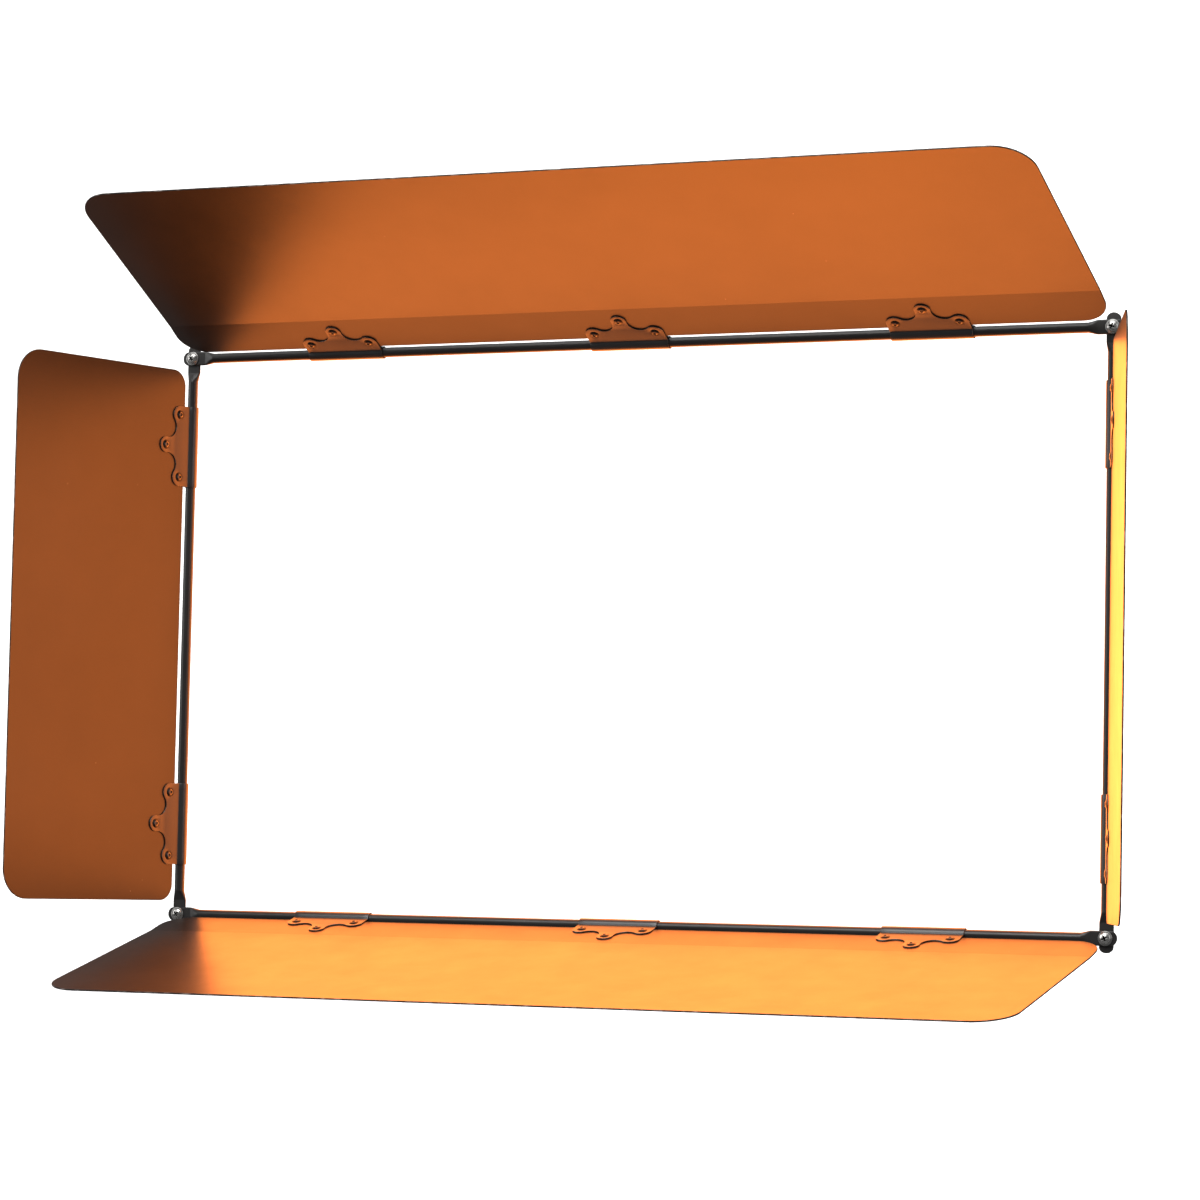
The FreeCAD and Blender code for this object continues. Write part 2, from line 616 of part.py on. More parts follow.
def clip_section(body):
    """The bent strap: a barrel round the tube, and a flange on each face of the leaf."""
    sketch = new_sketch(body, "YZ_Plane", "strap")
    inside = size("leaf_sheet") / 2
    outside = inside + size("clip_sheet")
    bore_meets = math.sqrt(BARREL_BORE**2 - inside**2)
    # the outer face leaves the barrel through a hollow bend
    bend = size("clip_sheet")
    bend_across = outside + bend
    bend_along = math.sqrt((BARREL_OUTSIDE + bend) ** 2 - bend_across**2)
    touch = BARREL_OUTSIDE / (BARREL_OUTSIDE + bend)
    centre = Vector(0, 0, 0)
    run = Outline(sketch, CLIP_TIP, inside)
    upper_inside = run.line(bore_meets, inside)
    bore = run.arc(centre, bore_meets, -inside, True)
    lower_inside = run.line(CLIP_TIP, -inside)
    lower_tip = run.line(CLIP_TIP, -outside)
    run.line(bend_along, -outside)
    lower_bend = run.arc(
        Vector(bend_along, -bend_across, 0), bend_along * touch, -bend_across * touch, True
    )
    barrel = run.arc(centre, bend_along * touch, bend_across * touch, False)
    upper_bend = run.arc(Vector(bend_along, bend_across, 0), bend_along, outside, True)
    upper_outside = run.line(CLIP_TIP, outside)
    upper_tip = run.line(CLIP_TIP, inside)
    run.close(smooth=[lower_bend, barrel, upper_bend])
    for level in (upper_inside, lower_inside, upper_outside):
        sketch.addConstraint(Sketcher.Constraint("Horizontal", level))
    for upright in (lower_tip, upper_tip):
        sketch.addConstraint(Sketcher.Constraint("Vertical", upright))
    for arc in (bore, barrel):
        sketch.addConstraint(Sketcher.Constraint("Coincident", arc, 3, -1, 1))
    bind(sketch, Sketcher.Constraint("Radius", bore, BARREL_BORE), BARREL_BORE_CELL)
    bind(sketch, Sketcher.Constraint("Radius", barrel, BARREL_OUTSIDE), BARREL_OUTSIDE_CELL)
    return sketch


def hinge_clip(name, placement):
    """A clip whose barrel lies along its own X, with its scalloped flanges reaching along Y."""
    body = new_body(name)
    pad(body, clip_section(body), "strap_length", "sizes.clip_length", symmetric=True)
    half = size("clip_length") / 2
    lobe = Vector(LOBE_ACROSS, size("lobe_reach"), 0)
    nose = Vector(0, size("nose_reach"), 0)
    lobe_radius = size("lobe_radius")
    nose_radius = size("nose_radius")
    waist_radius = size("waist_radius")
    # the hollow touches both round ends, so its centre is found from its distance to each
    apart = (lobe - nose).Length
    to_lobe = waist_radius + lobe_radius
    to_nose = waist_radius + nose_radius
    along = (apart**2 + to_nose**2 - to_lobe**2) / (2 * apart)
    aside = math.sqrt(to_nose**2 - along**2)
    towards = (lobe - nose) / apart
    outwards = Vector(-towards.y, towards.x, 0)
    waist = nose + towards * along + outwards * aside
    waist_lobe = waist + (lobe - waist) * (waist_radius / to_lobe)
    waist_nose = waist + (nose - waist) * (waist_radius / to_nose)
    above = CLIP_TIP + SPARE
    outline = new_sketch(body, "XY_Plane", "scallops")
    run = Outline(outline, half, lobe.y)
    lobe_arcs = [run.arc(lobe, waist_lobe.x, waist_lobe.y, True)]
    hollows = [run.arc(waist, waist_nose.x, waist_nose.y, False)]
    nose_arc = run.arc(nose, -waist_nose.x, waist_nose.y, True)
    hollows.append(run.arc(Vector(-waist.x, waist.y, 0), -waist_lobe.x, waist_lobe.y, False))
    lobe_arcs.append(run.arc(Vector(-lobe.x, lobe.y, 0), -half, lobe.y, True))
    run.line(-half - SPARE, lobe.y)
    run.line(-half - SPARE, above)
    run.line(half + SPARE, above)
    run.line(half + SPARE, lobe.y)
    run.line(half, lobe.y)
    run.close(smooth=[lobe_arcs[0], hollows[0], nose_arc, hollows[1]])
    for arc, side in zip(lobe_arcs, (1, -1)):
        bind(outline, Sketcher.Constraint("Radius", arc, lobe_radius), "sizes.lobe_radius")
        centre_at(outline, arc, side * lobe.x, lobe.y, LOBE_ACROSS_CELL, "sizes.lobe_reach")
    bind(outline, Sketcher.Constraint("Radius", nose_arc, nose_radius), "sizes.nose_radius")
    centre_at(outline, nose_arc, 0, nose.y, None, "sizes.nose_reach")
    for arc in hollows:
        bind(outline, Sketcher.Constraint("Radius", arc, waist_radius), "sizes.waist_radius")
    cut_through(body, outline, "scalloped")
    holes = new_sketch(body, "XY_Plane", "rivet_holes")
    for x, x_cell, reach in RIVET_SPOTS:
        hole = circle(holes, x, size(reach), RIVET_HOLE, RIVET_HOLE_CELL)
        centre_at(holes, hole, x, size(reach), x_cell, f"sizes.{reach}")
    cut_through(body, holes, "drilled")
    body.Placement = placement
    return body


def spherical_cap(radius, height, base_z, up):
    """A dome on the own Z axis, its flat base at base_z, rising (1) or hanging (-1) from it."""
    ball = (radius**2 + height**2) / (2 * height)
    latitude = math.degrees(math.asin((ball - height) / ball))
    centre = Vector(0, 0, base_z - up * (ball - height))
    return Part.makeSphere(ball, centre, Vector(0, 0, up), latitude, 90, 360)


def upright_cylinder(radius, low, high):
    return Part.makeCylinder(radius, high - low, Vector(0, 0, low))


def blind_rivet():
    """One set rivet along its own Z, centred in the sheets that it holds: a pattern for the groups."""
    stack = size("leaf_sheet") / 2 + size("clip_sheet")
    head_top = stack + size("rivet_head_height")
    half_tail = size("rivet_tail_height") / 2
    tail = size("rivet_tail_dia") / 2
    head = spherical_cap(size("rivet_head_dia") / 2, size("rivet_head_height"), stack, 1)
    shank = upright_cylinder(size("rivet_dia") / 2, -stack, stack)
    tail_rim = upright_cylinder(tail, -stack - half_tail, -stack)
    tail_dome = spherical_cap(tail, half_tail, -stack - half_tail, -1)
    hole_floor = head_top - size("mandrel_depth")
    mandrel_hole = upright_cylinder(size("mandrel_dia") / 2, hole_floor, head_top + SPARE)
    rivet = head.multiFuse([shank, tail_rim, tail_dome]).cut(mandrel_hole).removeSplitter()
    return rivet.Solids[0]


def rivet_group(name, placement):
    """The three rivets of one clip, as one group of separate solids."""
    group = doc.addObject("Part::Feature", name)
    group.Label = name
    pattern = blind_rivet()
    solids = []
    for x, _, reach in RIVET_SPOTS:
        rivet = pattern.copy()
        rivet.translate(Vector(x, size(reach), 0))
        solids.append(rivet)
    group.Shape = Part.makeCompound(solids)
    group.Placement = placement
    return group


# ---------------------------------------------------------------- the assembly


def hinge_frame(side, opened):
    """Where a leaf's own frame lies: X along the hinge, Y out along the leaf, Z out of its lit face."""
    turn = math.radians(opened)
    forward = -math.sin(turn)
    inward = math.cos(turn)
    half_x = size("screw_pitch_x") / 2
    half_z = size("screw_pitch_z") / 2
    at, reach, lit = {
        "top": ((0, HINGE_Y, half_z), (0, forward, -inward), (0, inward, forward)),
        "bottom": ((0, HINGE_Y, -half_z), (0, forward, inward), (0, inward, -forward)),
        "left": ((-half_x, HINGE_Y, 0), (inward, forward, 0), (-forward, inward, 0)),
        "right": ((half_x, HINGE_Y, 0), (-inward, forward, 0), (forward, inward, 0)),
    }[side]
    reach = Vector(*reach)
    lit = Vector(*lit)
    return Placement(Vector(*at), Rotation(reach.cross(lit), reach, lit, "XYZ"))


def along_hinge(frame, distance):
    return frame.multiply(Placement(Vector(distance, 0, 0), Rotation()))


parts = []
half_x = size("screw_pitch_x") / 2
half_z = size("screw_pitch_z") / 2

# The cross tubes' pressed ends lie in front of the side tubes' pressed ends.
upright = Rotation(Vector(0, 0, 1), Vector(0, 1, 0), Vector(-1, 0, 0), "XYZ")
for name, z in (("top", half_z), ("bottom", -half_z)):
    where = Placement(Vector(0, HINGE_Y, z), Rotation())
    parts.append(frame_tube(f"frame_tube_{name}", "screw_pitch_x", "cross_overhang", -1, where))
for name, x in (("left", -half_x), ("right", half_x)):
    where = Placement(Vector(x, HINGE_Y, 0), upright)
    parts.append(frame_tube(f"frame_tube_{name}", "screw_pitch_z", "side_overhang", 1, where))

facing = Rotation(Vector(1, 0, 0), 90)
for up, z in (("top", half_z), ("bottom", -half_z)):
    for across, x in (("left", -half_x), ("right", half_x)):
        on_tube = Placement(Vector(x, WASHER_Y, z), facing)
        driven = Rotation(Vector(0, 0, 1), size(f"turn_{up}_{across}"))
        on_washer = Placement(Vector(x, WASHER_Y - size("washer_thick"), z), facing.multiply(driven))
        parts.append(flat_washer(f"corner_washer_{up}_{across}", on_tube))
        parts.append(fixing_screw(f"corner_screw_{up}_{across}", on_washer))

# Each leaf with its clips: a word for the name, and the side of the leaf's middle, along its own hinge.
THREE_ALONG = (("left", -1), ("centre", 0), ("right", 1))
THREE_BACK = (("right", -1), ("centre", 0), ("left", 1))
LEAVES = (
    ("top", long_leaf, LONG_CLIP_OFF, THREE_ALONG),
    ("bottom", long_leaf, LONG_CLIP_OFF, THREE_BACK),
    ("left", side_leaf, SIDE_CLIP_OFF, (("lower", -1), ("upper", 1))),
    ("right", side_leaf, SIDE_CLIP_OFF, (("upper", -1), ("lower", 1))),
)
for side, make_leaf, clip_off, clips in LEAVES:
    frame = hinge_frame(side, size(f"{side}_open"))
    parts.append(make_leaf(f"leaf_{side}", frame))
    for word, step in clips:
        where = along_hinge(frame, step * clip_off)
        parts.append(hinge_clip(f"hinge_clip_{side}_{word}", where))
        parts.append(rivet_group(f"clip_rivets_{side}_{word}", where))

doc.recompute()
for item in doc.Objects:
    if "Invalid" in item.State or "Error" in item.State:
        raise RuntimeError(f"{item.Label} failed: {item.State}")
for part in parts:
    if part.Shape.isNull() or not part.Shape.isValid() or not part.Shape.Solids:
        raise RuntimeError(f"{part.Label} is not a valid solid")

os.makedirs("parts", exist_ok=True)
for part in parts:
    part.Shape.exportStep(f"parts/{part.Label}.step")
    box = part.Shape.BoundBox
    print(
        f"{part.Label:32s} solids {len(part.Shape.Solids)}  volume {part.Shape.Volume:10.1f}"
        f"  box {box.XLength:6.1f} x {box.YLength:6.1f} x {box.ZLength:6.1f}"
    )
print(len(parts), "parts")
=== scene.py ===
# %% [markdown]
# # Barn door attachment
# Four black leaves swing on a frame of thin tubes in front of a large soft light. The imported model
# already gives every piece its true size and place, so this lesson adds what a designer's model
# leaves out: rolled sheet edges, threads, punched rims, powder coat, plating and light.

# %% Load the frame
import json
import math

import bmesh
import bpy
from mathutils import Matrix, Vector


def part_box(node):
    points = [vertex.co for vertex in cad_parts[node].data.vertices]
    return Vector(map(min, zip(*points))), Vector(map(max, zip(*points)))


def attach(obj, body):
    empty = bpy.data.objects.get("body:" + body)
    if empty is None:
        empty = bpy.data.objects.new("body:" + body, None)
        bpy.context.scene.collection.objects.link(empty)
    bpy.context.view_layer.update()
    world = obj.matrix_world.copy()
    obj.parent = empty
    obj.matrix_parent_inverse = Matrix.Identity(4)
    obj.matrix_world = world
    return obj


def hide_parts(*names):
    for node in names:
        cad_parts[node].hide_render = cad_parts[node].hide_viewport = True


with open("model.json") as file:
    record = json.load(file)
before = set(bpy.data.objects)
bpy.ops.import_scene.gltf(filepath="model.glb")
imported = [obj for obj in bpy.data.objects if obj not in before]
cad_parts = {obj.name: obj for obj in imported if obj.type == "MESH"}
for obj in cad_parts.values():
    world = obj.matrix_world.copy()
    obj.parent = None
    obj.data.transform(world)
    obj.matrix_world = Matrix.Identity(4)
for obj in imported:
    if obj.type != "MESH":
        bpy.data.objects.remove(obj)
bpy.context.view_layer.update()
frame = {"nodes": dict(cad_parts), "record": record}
MM = 0.001
record = frame["record"]
joints = {joint["child"]: joint for joint in record["behaviour"]["joints"]}
bodies = record["behaviour"]["bodies"]

# %% [markdown]
# ## Where a leaf lies
# A leaf is easiest to draw flat, in its own directions: u along the hinge, v out along the sheet
# and w out of its lit face. The joint gives the hinge line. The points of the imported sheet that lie
# nearest to that line are its near edge, and their middle shows which way the sheet leaves the hinge.

# %% Find each leaf's own directions
NEAR_EDGE = 0.05 * MM


def hinge_matrix(body):
    """The matrix from a leaf's own u, v, w to the shared frame, and how far its near edge is out."""
    joint = joints[body]
    at = Vector(joint["pos_m"])
    along = Vector(joint["axis"])
    leaf = next(name for name in bodies[body] if name.startswith("leaf_"))
    out = []
    for vertex in frame["nodes"][leaf].data.vertices:
        arm = vertex.co - at
        out.append(arm - along * arm.dot(along))
    nearest = min(arm.length for arm in out)
    edge = [arm for arm in out if arm.length < nearest + NEAR_EDGE]
    reach = sum(edge, Vector()) / len(edge)
    setback = reach.length
    reach.normalize()
    lit = along.cross(reach)
    if lit.dot(at) > 0:
        lit = -lit
    across = reach.cross(lit)
    turn = Matrix((across, reach, lit)).transposed().to_4x4()
    return Matrix.Translation(at) @ turn, setback


LEAF_BODIES = ("top_leaf", "bottom_leaf", "left_leaf", "right_leaf")
hinges = {body: hinge_matrix(body) for body in LEAF_BODIES}
for body, (matrix, setback) in hinges.items():
    towards = [round(x, 3) for x in matrix.col[1][:3]]
    print(body, "leaves its hinge towards", towards, "setback", round(setback, 5))


def extent(node, body):
    """A node's lowest and highest u, v and w."""
    inverse = hinges[body][0].inverted()
    points = [inverse @ vertex.co for vertex in frame["nodes"][node].data.vertices]
    low = Vector([min(point[k] for point in points) for k in range(3)])
    high = Vector([max(point[k] for point in points) for k in range(3)])
    return low, high


# %% [markdown]
# ## Small tools for shader nodes
# Each finish below is a few nodes. One helper adds a node and fills its inputs, one starts a material
# with its shader, and four more name the steps that every finish uses. A value that is the same all
# over goes on the shader. A noise reads Object coordinates, so its scale counts features in a metre.

# %% Helpers for materials


def add(tree, kind, inputs=None, **settings):
    """A new node with its settings, and its inputs filled with values or linked from outputs."""
    made = tree.nodes.new(kind)
    for name, value in settings.items():
        setattr(made, name, value)
    for name, value in (inputs or {}).items():
        if isinstance(value, bpy.types.NodeSocket):
            tree.links.new(value, made.inputs[name])
        else:
            made.inputs[name].default_value = value
    return made


def start_material(name, **values):
    """A material, its tree, its shader with these values, and the Object coordinates."""
    material = bpy.data.materials.new(name)
    material.use_nodes = True
    tree = material.node_tree
    shader = tree.nodes["Principled BSDF"]
    for socket, value in values.items():
        shader.inputs[socket.replace("_", " ")].default_value = value
    where = add(tree, "ShaderNodeTexCoord").outputs["Object"]
    return material, tree, shader, where


def noise(tree, where, scale, detail=3.0, roughness=0.55):
    values = {"Vector": where, "Scale": scale, "Detail": detail, "Roughness": roughness}
    return add(tree, "ShaderNodeTexNoise", values).outputs["Fac"]


def spread(tree, value, low, high, to_low=0.0, to_high=1.0):
    """Stretches low..high to to_low..to_high and holds it there."""
    limits = {"Value": value, "From Min": low, "From Max": high, "To Min": to_low, "To Max": to_high}
    return add(tree, "ShaderNodeMapRange", limits).outputs["Result"]


def multiply(tree, first, second):
    return add(tree, "ShaderNodeMath", {0: first, 1: second}, operation="MULTIPLY").outputs[0]


def blend_colour(tree, share, first, second):
    mixed = add(tree, "ShaderNodeMix", {"Factor": share}, data_type="RGBA")
    for socket, value in ((mixed.inputs[6], first), (mixed.inputs[7], second)):
        if isinstance(value, bpy.types.NodeSocket):
            tree.links.new(value, socket)
        else:
            socket.default_value = (*value, 1.0)
    return mixed.outputs[2]


helpers = (add, start_material, noise, spread, multiply, blend_colour)
print("helpers:", ", ".join(helper.__name__ for helper in helpers))

# %% [markdown]
# ## Satin powder coat
# Powder coat melts into a skin with a faint orange peel. It is not one flat black: it is a little
# browner and duller in patches, holds dust, and is rubbed to grey where the sheet's edge is handled.
# The rub reads a mark called rim, which the sheets below carry on their rolled edges only.

# %% Powder coat
COAT_TINT = Vector((1.0, 0.91, 0.87))
COAT_FADING = 1.6
DUST = (0.22, 0.20, 0.18)
BARE_STEEL = (0.30, 0.29, 0.28)
PATCHES_PER_M = 11.0
DUST_AREAS_PER_M = 23.0
SMEARS_PER_M = 37.0
DUST_CELLS_PER_M = 85.0
RUBS_PER_M = 160.0
PEEL_PER_M = 1500.0
GRAIN_PER_M = 5200.0
PEEL_DEPTH = 0.03 * MM
GRAIN_DEPTH = 0.008 * MM


def powder_coat(name, depth, dull, dust_share, shine):
    """Depth is how much light the coat gives back, dull its roughness, shine its gloss level."""
    material, tree, shader, where = start_material(name, IOR=1.5, Specular_IOR_Level=shine)
    patches = noise(tree, where, PATCHES_PER_M, 4.0)
    fresh = COAT_TINT * depth
    colour = blend_colour(tree, spread(tree, patches, 0.35, 0.70), fresh, fresh * COAT_FADING)
    # dust: one small round speck in some of the cells
    spacing = {"Vector": where, "Scale": DUST_CELLS_PER_M, "Randomness": 1.0}
    cells = add(tree, "ShaderNodeTexVoronoi", spacing)
    speck = spread(tree, cells.outputs["Distance"], 0.015, 0.030, 1.0, 0.0)
    chosen = spread(tree, noise(tree, where, DUST_AREAS_PER_M, 2.0), 0.56, 0.60)
    dusty = multiply(tree, multiply(tree, speck, chosen), dust_share)
    colour = blend_colour(tree, dusty, colour, DUST)
    # the rolled edge is rubbed in places
    rim = add(tree, "ShaderNodeAttribute", attribute_name="rim").outputs["Fac"]
    worn = spread(tree, noise(tree, where, RUBS_PER_M, 5.0), 0.50, 0.66, 0.0, 0.55)
    rubbed = multiply(tree, rim, worn)
    colour = blend_colour(tree, rubbed, colour, BARE_STEEL)
    tree.links.new(colour, shader.inputs["Base Color"])
    smears = noise(tree, where, SMEARS_PER_M, 5.0, 0.62)
    roughness = spread(tree, smears, 0.25, 0.75, dull - 0.02, dull + 0.03)
    tree.links.new(roughness, shader.inputs["Roughness"])
    peel = noise(tree, where, PEEL_PER_M, 2.0)
    grain = noise(tree, where, GRAIN_PER_M, 2.0)
    coarse = add(tree, "ShaderNodeBump", {"Height": peel, "Strength": 0.35, "Distance": PEEL_DEPTH})
    fine = {"Height": grain, "Strength": 0.30, "Distance": GRAIN_DEPTH, "Normal": coarse.outputs[0]}
    tree.links.new(add(tree, "ShaderNodeBump", fine).outputs[0], shader.inputs["Normal"])
    return material


leaf_coat = powder_coat("leaf_satin_powder_coat", 0.009, 0.34, 0.9, 0.50)
clip_coat = powder_coat("clip_satin_powder_coat", 0.022, 0.34, 0.5, 0.78)
tube_coat = powder_coat("tube_satin_powder_coat", 0.020, 0.36, 0.4, 0.55)
print("powder coats:", leaf_coat.name, clip_coat.name, tube_coat.name)

# %% [markdown]
# ## Bright zinc and dark rivets
# The screws and washers are zinc plated: a cool, fairly bright metal with fine scuffs and duller patches.
# The cross of each screw is painted shade: its recess is darkened to near black. The rivets are dark.
# The crown of each dome, and the stub of the pulled pin in its middle, carry a mark called crown and are
# rubbed a little lighter.

# %% Metals
ZINC_TINT = (1.0, 0.985, 0.955)
ZINC_STAIN = (0.52, 0.51, 0.49)
# painted shade: the near-black colour put into the recess of each screw's cross
PAINTED_RECESS_SHADE = (0.020, 0.017, 0.015)
RIVET_DARK = (0.030, 0.028, 0.027)
RIVET_CROWN = (0.15, 0.145, 0.14)
STAINS_PER_M = 420.0
RIVET_PATCHES_PER_M = 700.0
ZINC_SCUFFS_PER_M = 1700.0
RIVET_SCUFFS_PER_M = 1900.0
SCUFF_DEPTH = 0.01 * MM


def scuff(tree, shader, scuffs, smooth, rough, strength):
    """Fine scuffs: they change the roughness from smooth to rough and dent the surface a little."""
    tree.links.new(spread(tree, scuffs, 0.3, 0.7, smooth, rough), shader.inputs["Roughness"])
    bump = {"Height": scuffs, "Strength": strength, "Distance": SCUFF_DEPTH}
    tree.links.new(add(tree, "ShaderNodeBump", bump).outputs[0], shader.inputs["Normal"])


def zinc(name, bright, dull):
    """Bright is how much light the plating gives back, dull its middle roughness."""
    material, tree, shader, where = start_material(name, Metallic=1.0)
    stains = noise(tree, where, STAINS_PER_M, 4.0)
    light = tuple(bright * tint for tint in ZINC_TINT)
    dark = tuple(bright * tint for tint in ZINC_STAIN)
    colour = blend_colour(tree, spread(tree, stains, 0.42, 0.72), light, dark)
    # painted shade: faces marked in the cross recess are blended to near black
    grime = add(tree, "ShaderNodeAttribute", attribute_name="grime").outputs["Fac"]
    colour = blend_colour(tree, grime, colour, PAINTED_RECESS_SHADE)
    tree.links.new(colour, shader.inputs["Base Color"])
    scuffs = noise(tree, where, ZINC_SCUFFS_PER_M, 3.0)
    scuff(tree, shader, scuffs, dull - 0.07, dull + 0.10, 0.4)
    return material


screw_zinc = zinc("screw_bright_zinc", 0.52, 0.26)
washer_zinc = zinc("washer_bright_zinc", 0.46, 0.30)


def rivet_finish():
    material, tree, shader, where = start_material("rivet_dark_metal", Metallic=0.85)
    crown = add(tree, "ShaderNodeAttribute", attribute_name="crown").outputs["Fac"]
    patchy = spread(tree, noise(tree, where, RIVET_PATCHES_PER_M, 4.0), 0.35, 0.65, 0.35, 1.0)
    colour = blend_colour(tree, multiply(tree, crown, patchy), RIVET_DARK, RIVET_CROWN)
    tree.links.new(colour, shader.inputs["Base Color"])
    scuff(tree, shader, noise(tree, where, RIVET_SCUFFS_PER_M, 3.0), 0.24, 0.42, 0.35)
    return material


rivet_metal = rivet_finish()
print("metals:", screw_zinc.name, washer_zinc.name, rivet_metal.name)

# %% [markdown]
# ## Outlines in lines and arcs
# A punched sheet starts as an outline. A polygon with a radius at each corner covers the leaves, and
# an arc helper covers the holes and the scalloped clips. Points go anticlockwise round the metal, so
# outwards is always on the right-hand side of travel.

# %% Outline helpers
ARC_STEP = math.radians(6)


def arc(centre, radius, start, end):
    """Points from one angle to another, both included, clockwise where end is the smaller."""
    steps = max(2, math.ceil(abs(end - start) / ARC_STEP))
    angles = [start + (end - start) * k / steps for k in range(steps + 1)]
    return [(centre[0] + radius * math.cos(a), centre[1] + radius * math.sin(a)) for a in angles]


def rounded_polygon(corners):
    """Corners as (x, y, radius), anticlockwise: each becomes an arc tangent to both of its sides."""
    points = []
    for k, (x, y, radius) in enumerate(corners):
        here = Vector((x, y))
        before = (Vector(corners[k - 1][:2]) - here).normalized()
        after = (Vector(corners[(k + 1) % len(corners)][:2]) - here).normalized()
        half = before.angle(after) / 2
        centre = here + (before + after).normalized() * radius / math.sin(half)
        first = here + before * radius / math.tan(half) - centre
        last = here + after * radius / math.tan(half) - centre
        begin = math.atan2(first.y, first.x)
        sweep = (math.atan2(last.y, last.x) - begin) % math.tau
        points += arc(centre, radius, begin, begin + sweep)
    return points


def hole(x, y, radius):
    """A round hole: clockwise, because its metal is outside it."""
    return arc((x, y), radius, 0.0, -math.tau)[:-1]


print("a full circle has", len(hole(0.0, 0.0, 1.0)), "sides")

# %% [markdown]
# ## Punched sheet
# The punch leaves a flat top and bottom and an edge that is slightly rolled by tumbling and paint.
# The wall is a strip of rings: each ring is the outline moved inwards and up or down along a small
# round. The flat faces are filled between the innermost rings, holes included.

# %% Build a punched sheet
RIM_STEPS = 3


def offset_ring(points, inset):
    """The outline moved inwards by inset, each point along the bisector of its two sides."""
    moved = []
    for k, (x, y) in enumerate(points):
        back = Vector((x, y)) - Vector(points[k - 1])
        ahead = Vector(points[(k + 1) % len(points)]) - Vector((x, y))
        side = (back.normalized() + ahead.normalized()).normalized()
        moved.append((x - side.y * inset, y + side.x * inset))
    return moved


def rim_profile(thick, radius):
    """(inset, height) from the upper flat over the rolled edge to the lower flat."""
    upper = []
    for k in range(RIM_STEPS + 1):
        a = math.pi / 2 * (1 - k / RIM_STEPS)
        upper.append((radius * (1 - math.cos(a)), thick / 2 - radius * (1 - math.sin(a))))
    return upper + [(inset, -height) for inset, height in reversed(upper)]


def punched_sheet(outline, holes, thick, rim_radius):
    """A bmesh of a flat sheet with rolled edges. The faces of the edges carry the mark rim."""
    bm = bmesh.new()
    rim = bm.faces.layers.float.new("rim")
    loops = [outline, *holes]
    profile = rim_profile(thick, rim_radius)
    ends = ([], [])
    for points in loops:
        rings = []
        for inset, height in profile:
            rings.append([bm.verts.new((x, y, height)) for x, y in offset_ring(points, inset)])
        for above, below in zip(rings, rings[1:]):
            for k in range(len(points)):
                quad = (above[k - 1], below[k - 1], below[k], above[k])
                face = bm.faces.new(quad)
                face[rim] = 1.0
                face.smooth = True
        ends[0].append(rings[0])
        ends[1].append(rings[-1])
    for flat, faces_up in zip(ends, (True, False)):
        edges = []
        for ring in flat:
            edges += [bm.edges.get((ring[k - 1], ring[k])) for k in range(len(ring))]
        filled = bmesh.ops.triangle_fill(bm, use_beauty=True, use_dissolve=False, edges=edges)
        faces = [item for item in filled["geom"] if isinstance(item, bmesh.types.BMFace)]
        for face in faces:
            face.normal_update()
            if (face.normal.z > 0) != faces_up:
                face.normal_flip()
    return bm


def cut_across(bm, stations):
    """Adds an edge loop across the sheet at each v, so that it can bend there."""
    for v in stations:
        everything = bm.verts[:] + bm.edges[:] + bm.faces[:]
        bmesh.ops.bisect_plane(bm, geom=everything, plane_co=(0, v, 0), plane_no=(0, 1, 0))


def finish_piece(name, bm, body, material, replaced):
    """Turns a bmesh that is already in place into a piece that rides on its body."""
    mesh = bpy.data.meshes.new(name)
    bm.to_mesh(mesh)
    bm.free()
    return finish_mesh(name, mesh, body, material, replaced)


def finish_mesh(name, mesh, body, material, replaced):
    """Makes a mesh that is already in place a piece with one material."""
    mesh.materials.clear()
    mesh.materials.append(material)
    piece = bpy.data.objects.new(name, mesh)
    bpy.context.scene.collection.objects.link(piece)
    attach(piece, body)
    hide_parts(*replaced)
    print(f"{name}: {len(mesh.polygons)} faces on {body}")
    return piece


print("a sheet's edge has", len(rim_profile(1.0, 0.2)), "rings")

# %% [markdown]
# ## The leaves
# A leaf is drawn flat with its rivet holes, and a long one is then cut along its crease and bent there
# round a small radius. The near edge, the middles of the clips and the short leaves' width and reach
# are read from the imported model. The rest are the sizes of the flat sheet, in millimetres.

# %% Leaf sizes
SHEET = 1.0 * MM
SHEET_RIM = 0.28 * MM
RIVET_HOLE = 1.65 * MM
RIVET_ACROSS = 21.0 * MM
RIVET_NEAR = 12.5 * MM
RIVET_FAR = 25.0 * MM
CREASE_AT = 37.0 * MM
CREASE_RADIUS = 9.0 * MM
CREASE_BEND = math.radians(4.2)
CREASE_START = CREASE_AT - CREASE_RADIUS * math.tan(CREASE_BEND / 2)
CREASE_CUTS = 4
LONG_TAPER = 5.6 * MM
LONG_HALF = 321.8 * MM
LONG_REACH = 190.0 * MM
NEAR_CORNER = {"long": 18.0 * MM, "short": 11.0 * MM}
FAR_CORNER = {"long": 25.0 * MM, "short": 20.0 * MM}


def clip_middles(body):
    """The u of the middle of each clip on a leaf, from its packed rivets."""
    groups = [name for name in bodies[body] if name.startswith("clip_rivets_")]
    return sorted((extent(name, body)[0].x + extent(name, body)[1].x) / 2 for name in groups)


def rivet_spots(body):
    """Where the rivets of a leaf go, as (u, v): three for each clip."""
    spots = []
    for middle in clip_middles(body):
        spots += [
            (middle - RIVET_ACROSS, RIVET_NEAR),
            (middle, RIVET_FAR),
            (middle + RIVET_ACROSS, RIVET_NEAR),
        ]
    return spots


def crease(v, w):
    """Where a point of the flat long leaf goes when the sheet is bent at the crease."""
    if v <= CREASE_START:
        return v, w
    turned = min((v - CREASE_START) / CREASE_RADIUS, CREASE_BEND)
    past = v - CREASE_START - CREASE_RADIUS * turned
    middle_v = CREASE_START + CREASE_RADIUS * math.sin(turned) + past * math.cos(turned)
    middle_w = CREASE_RADIUS * (1 - math.cos(turned)) + past * math.sin(turned)
    return middle_v - w * math.sin(turned), middle_w + w * math.cos(turned)


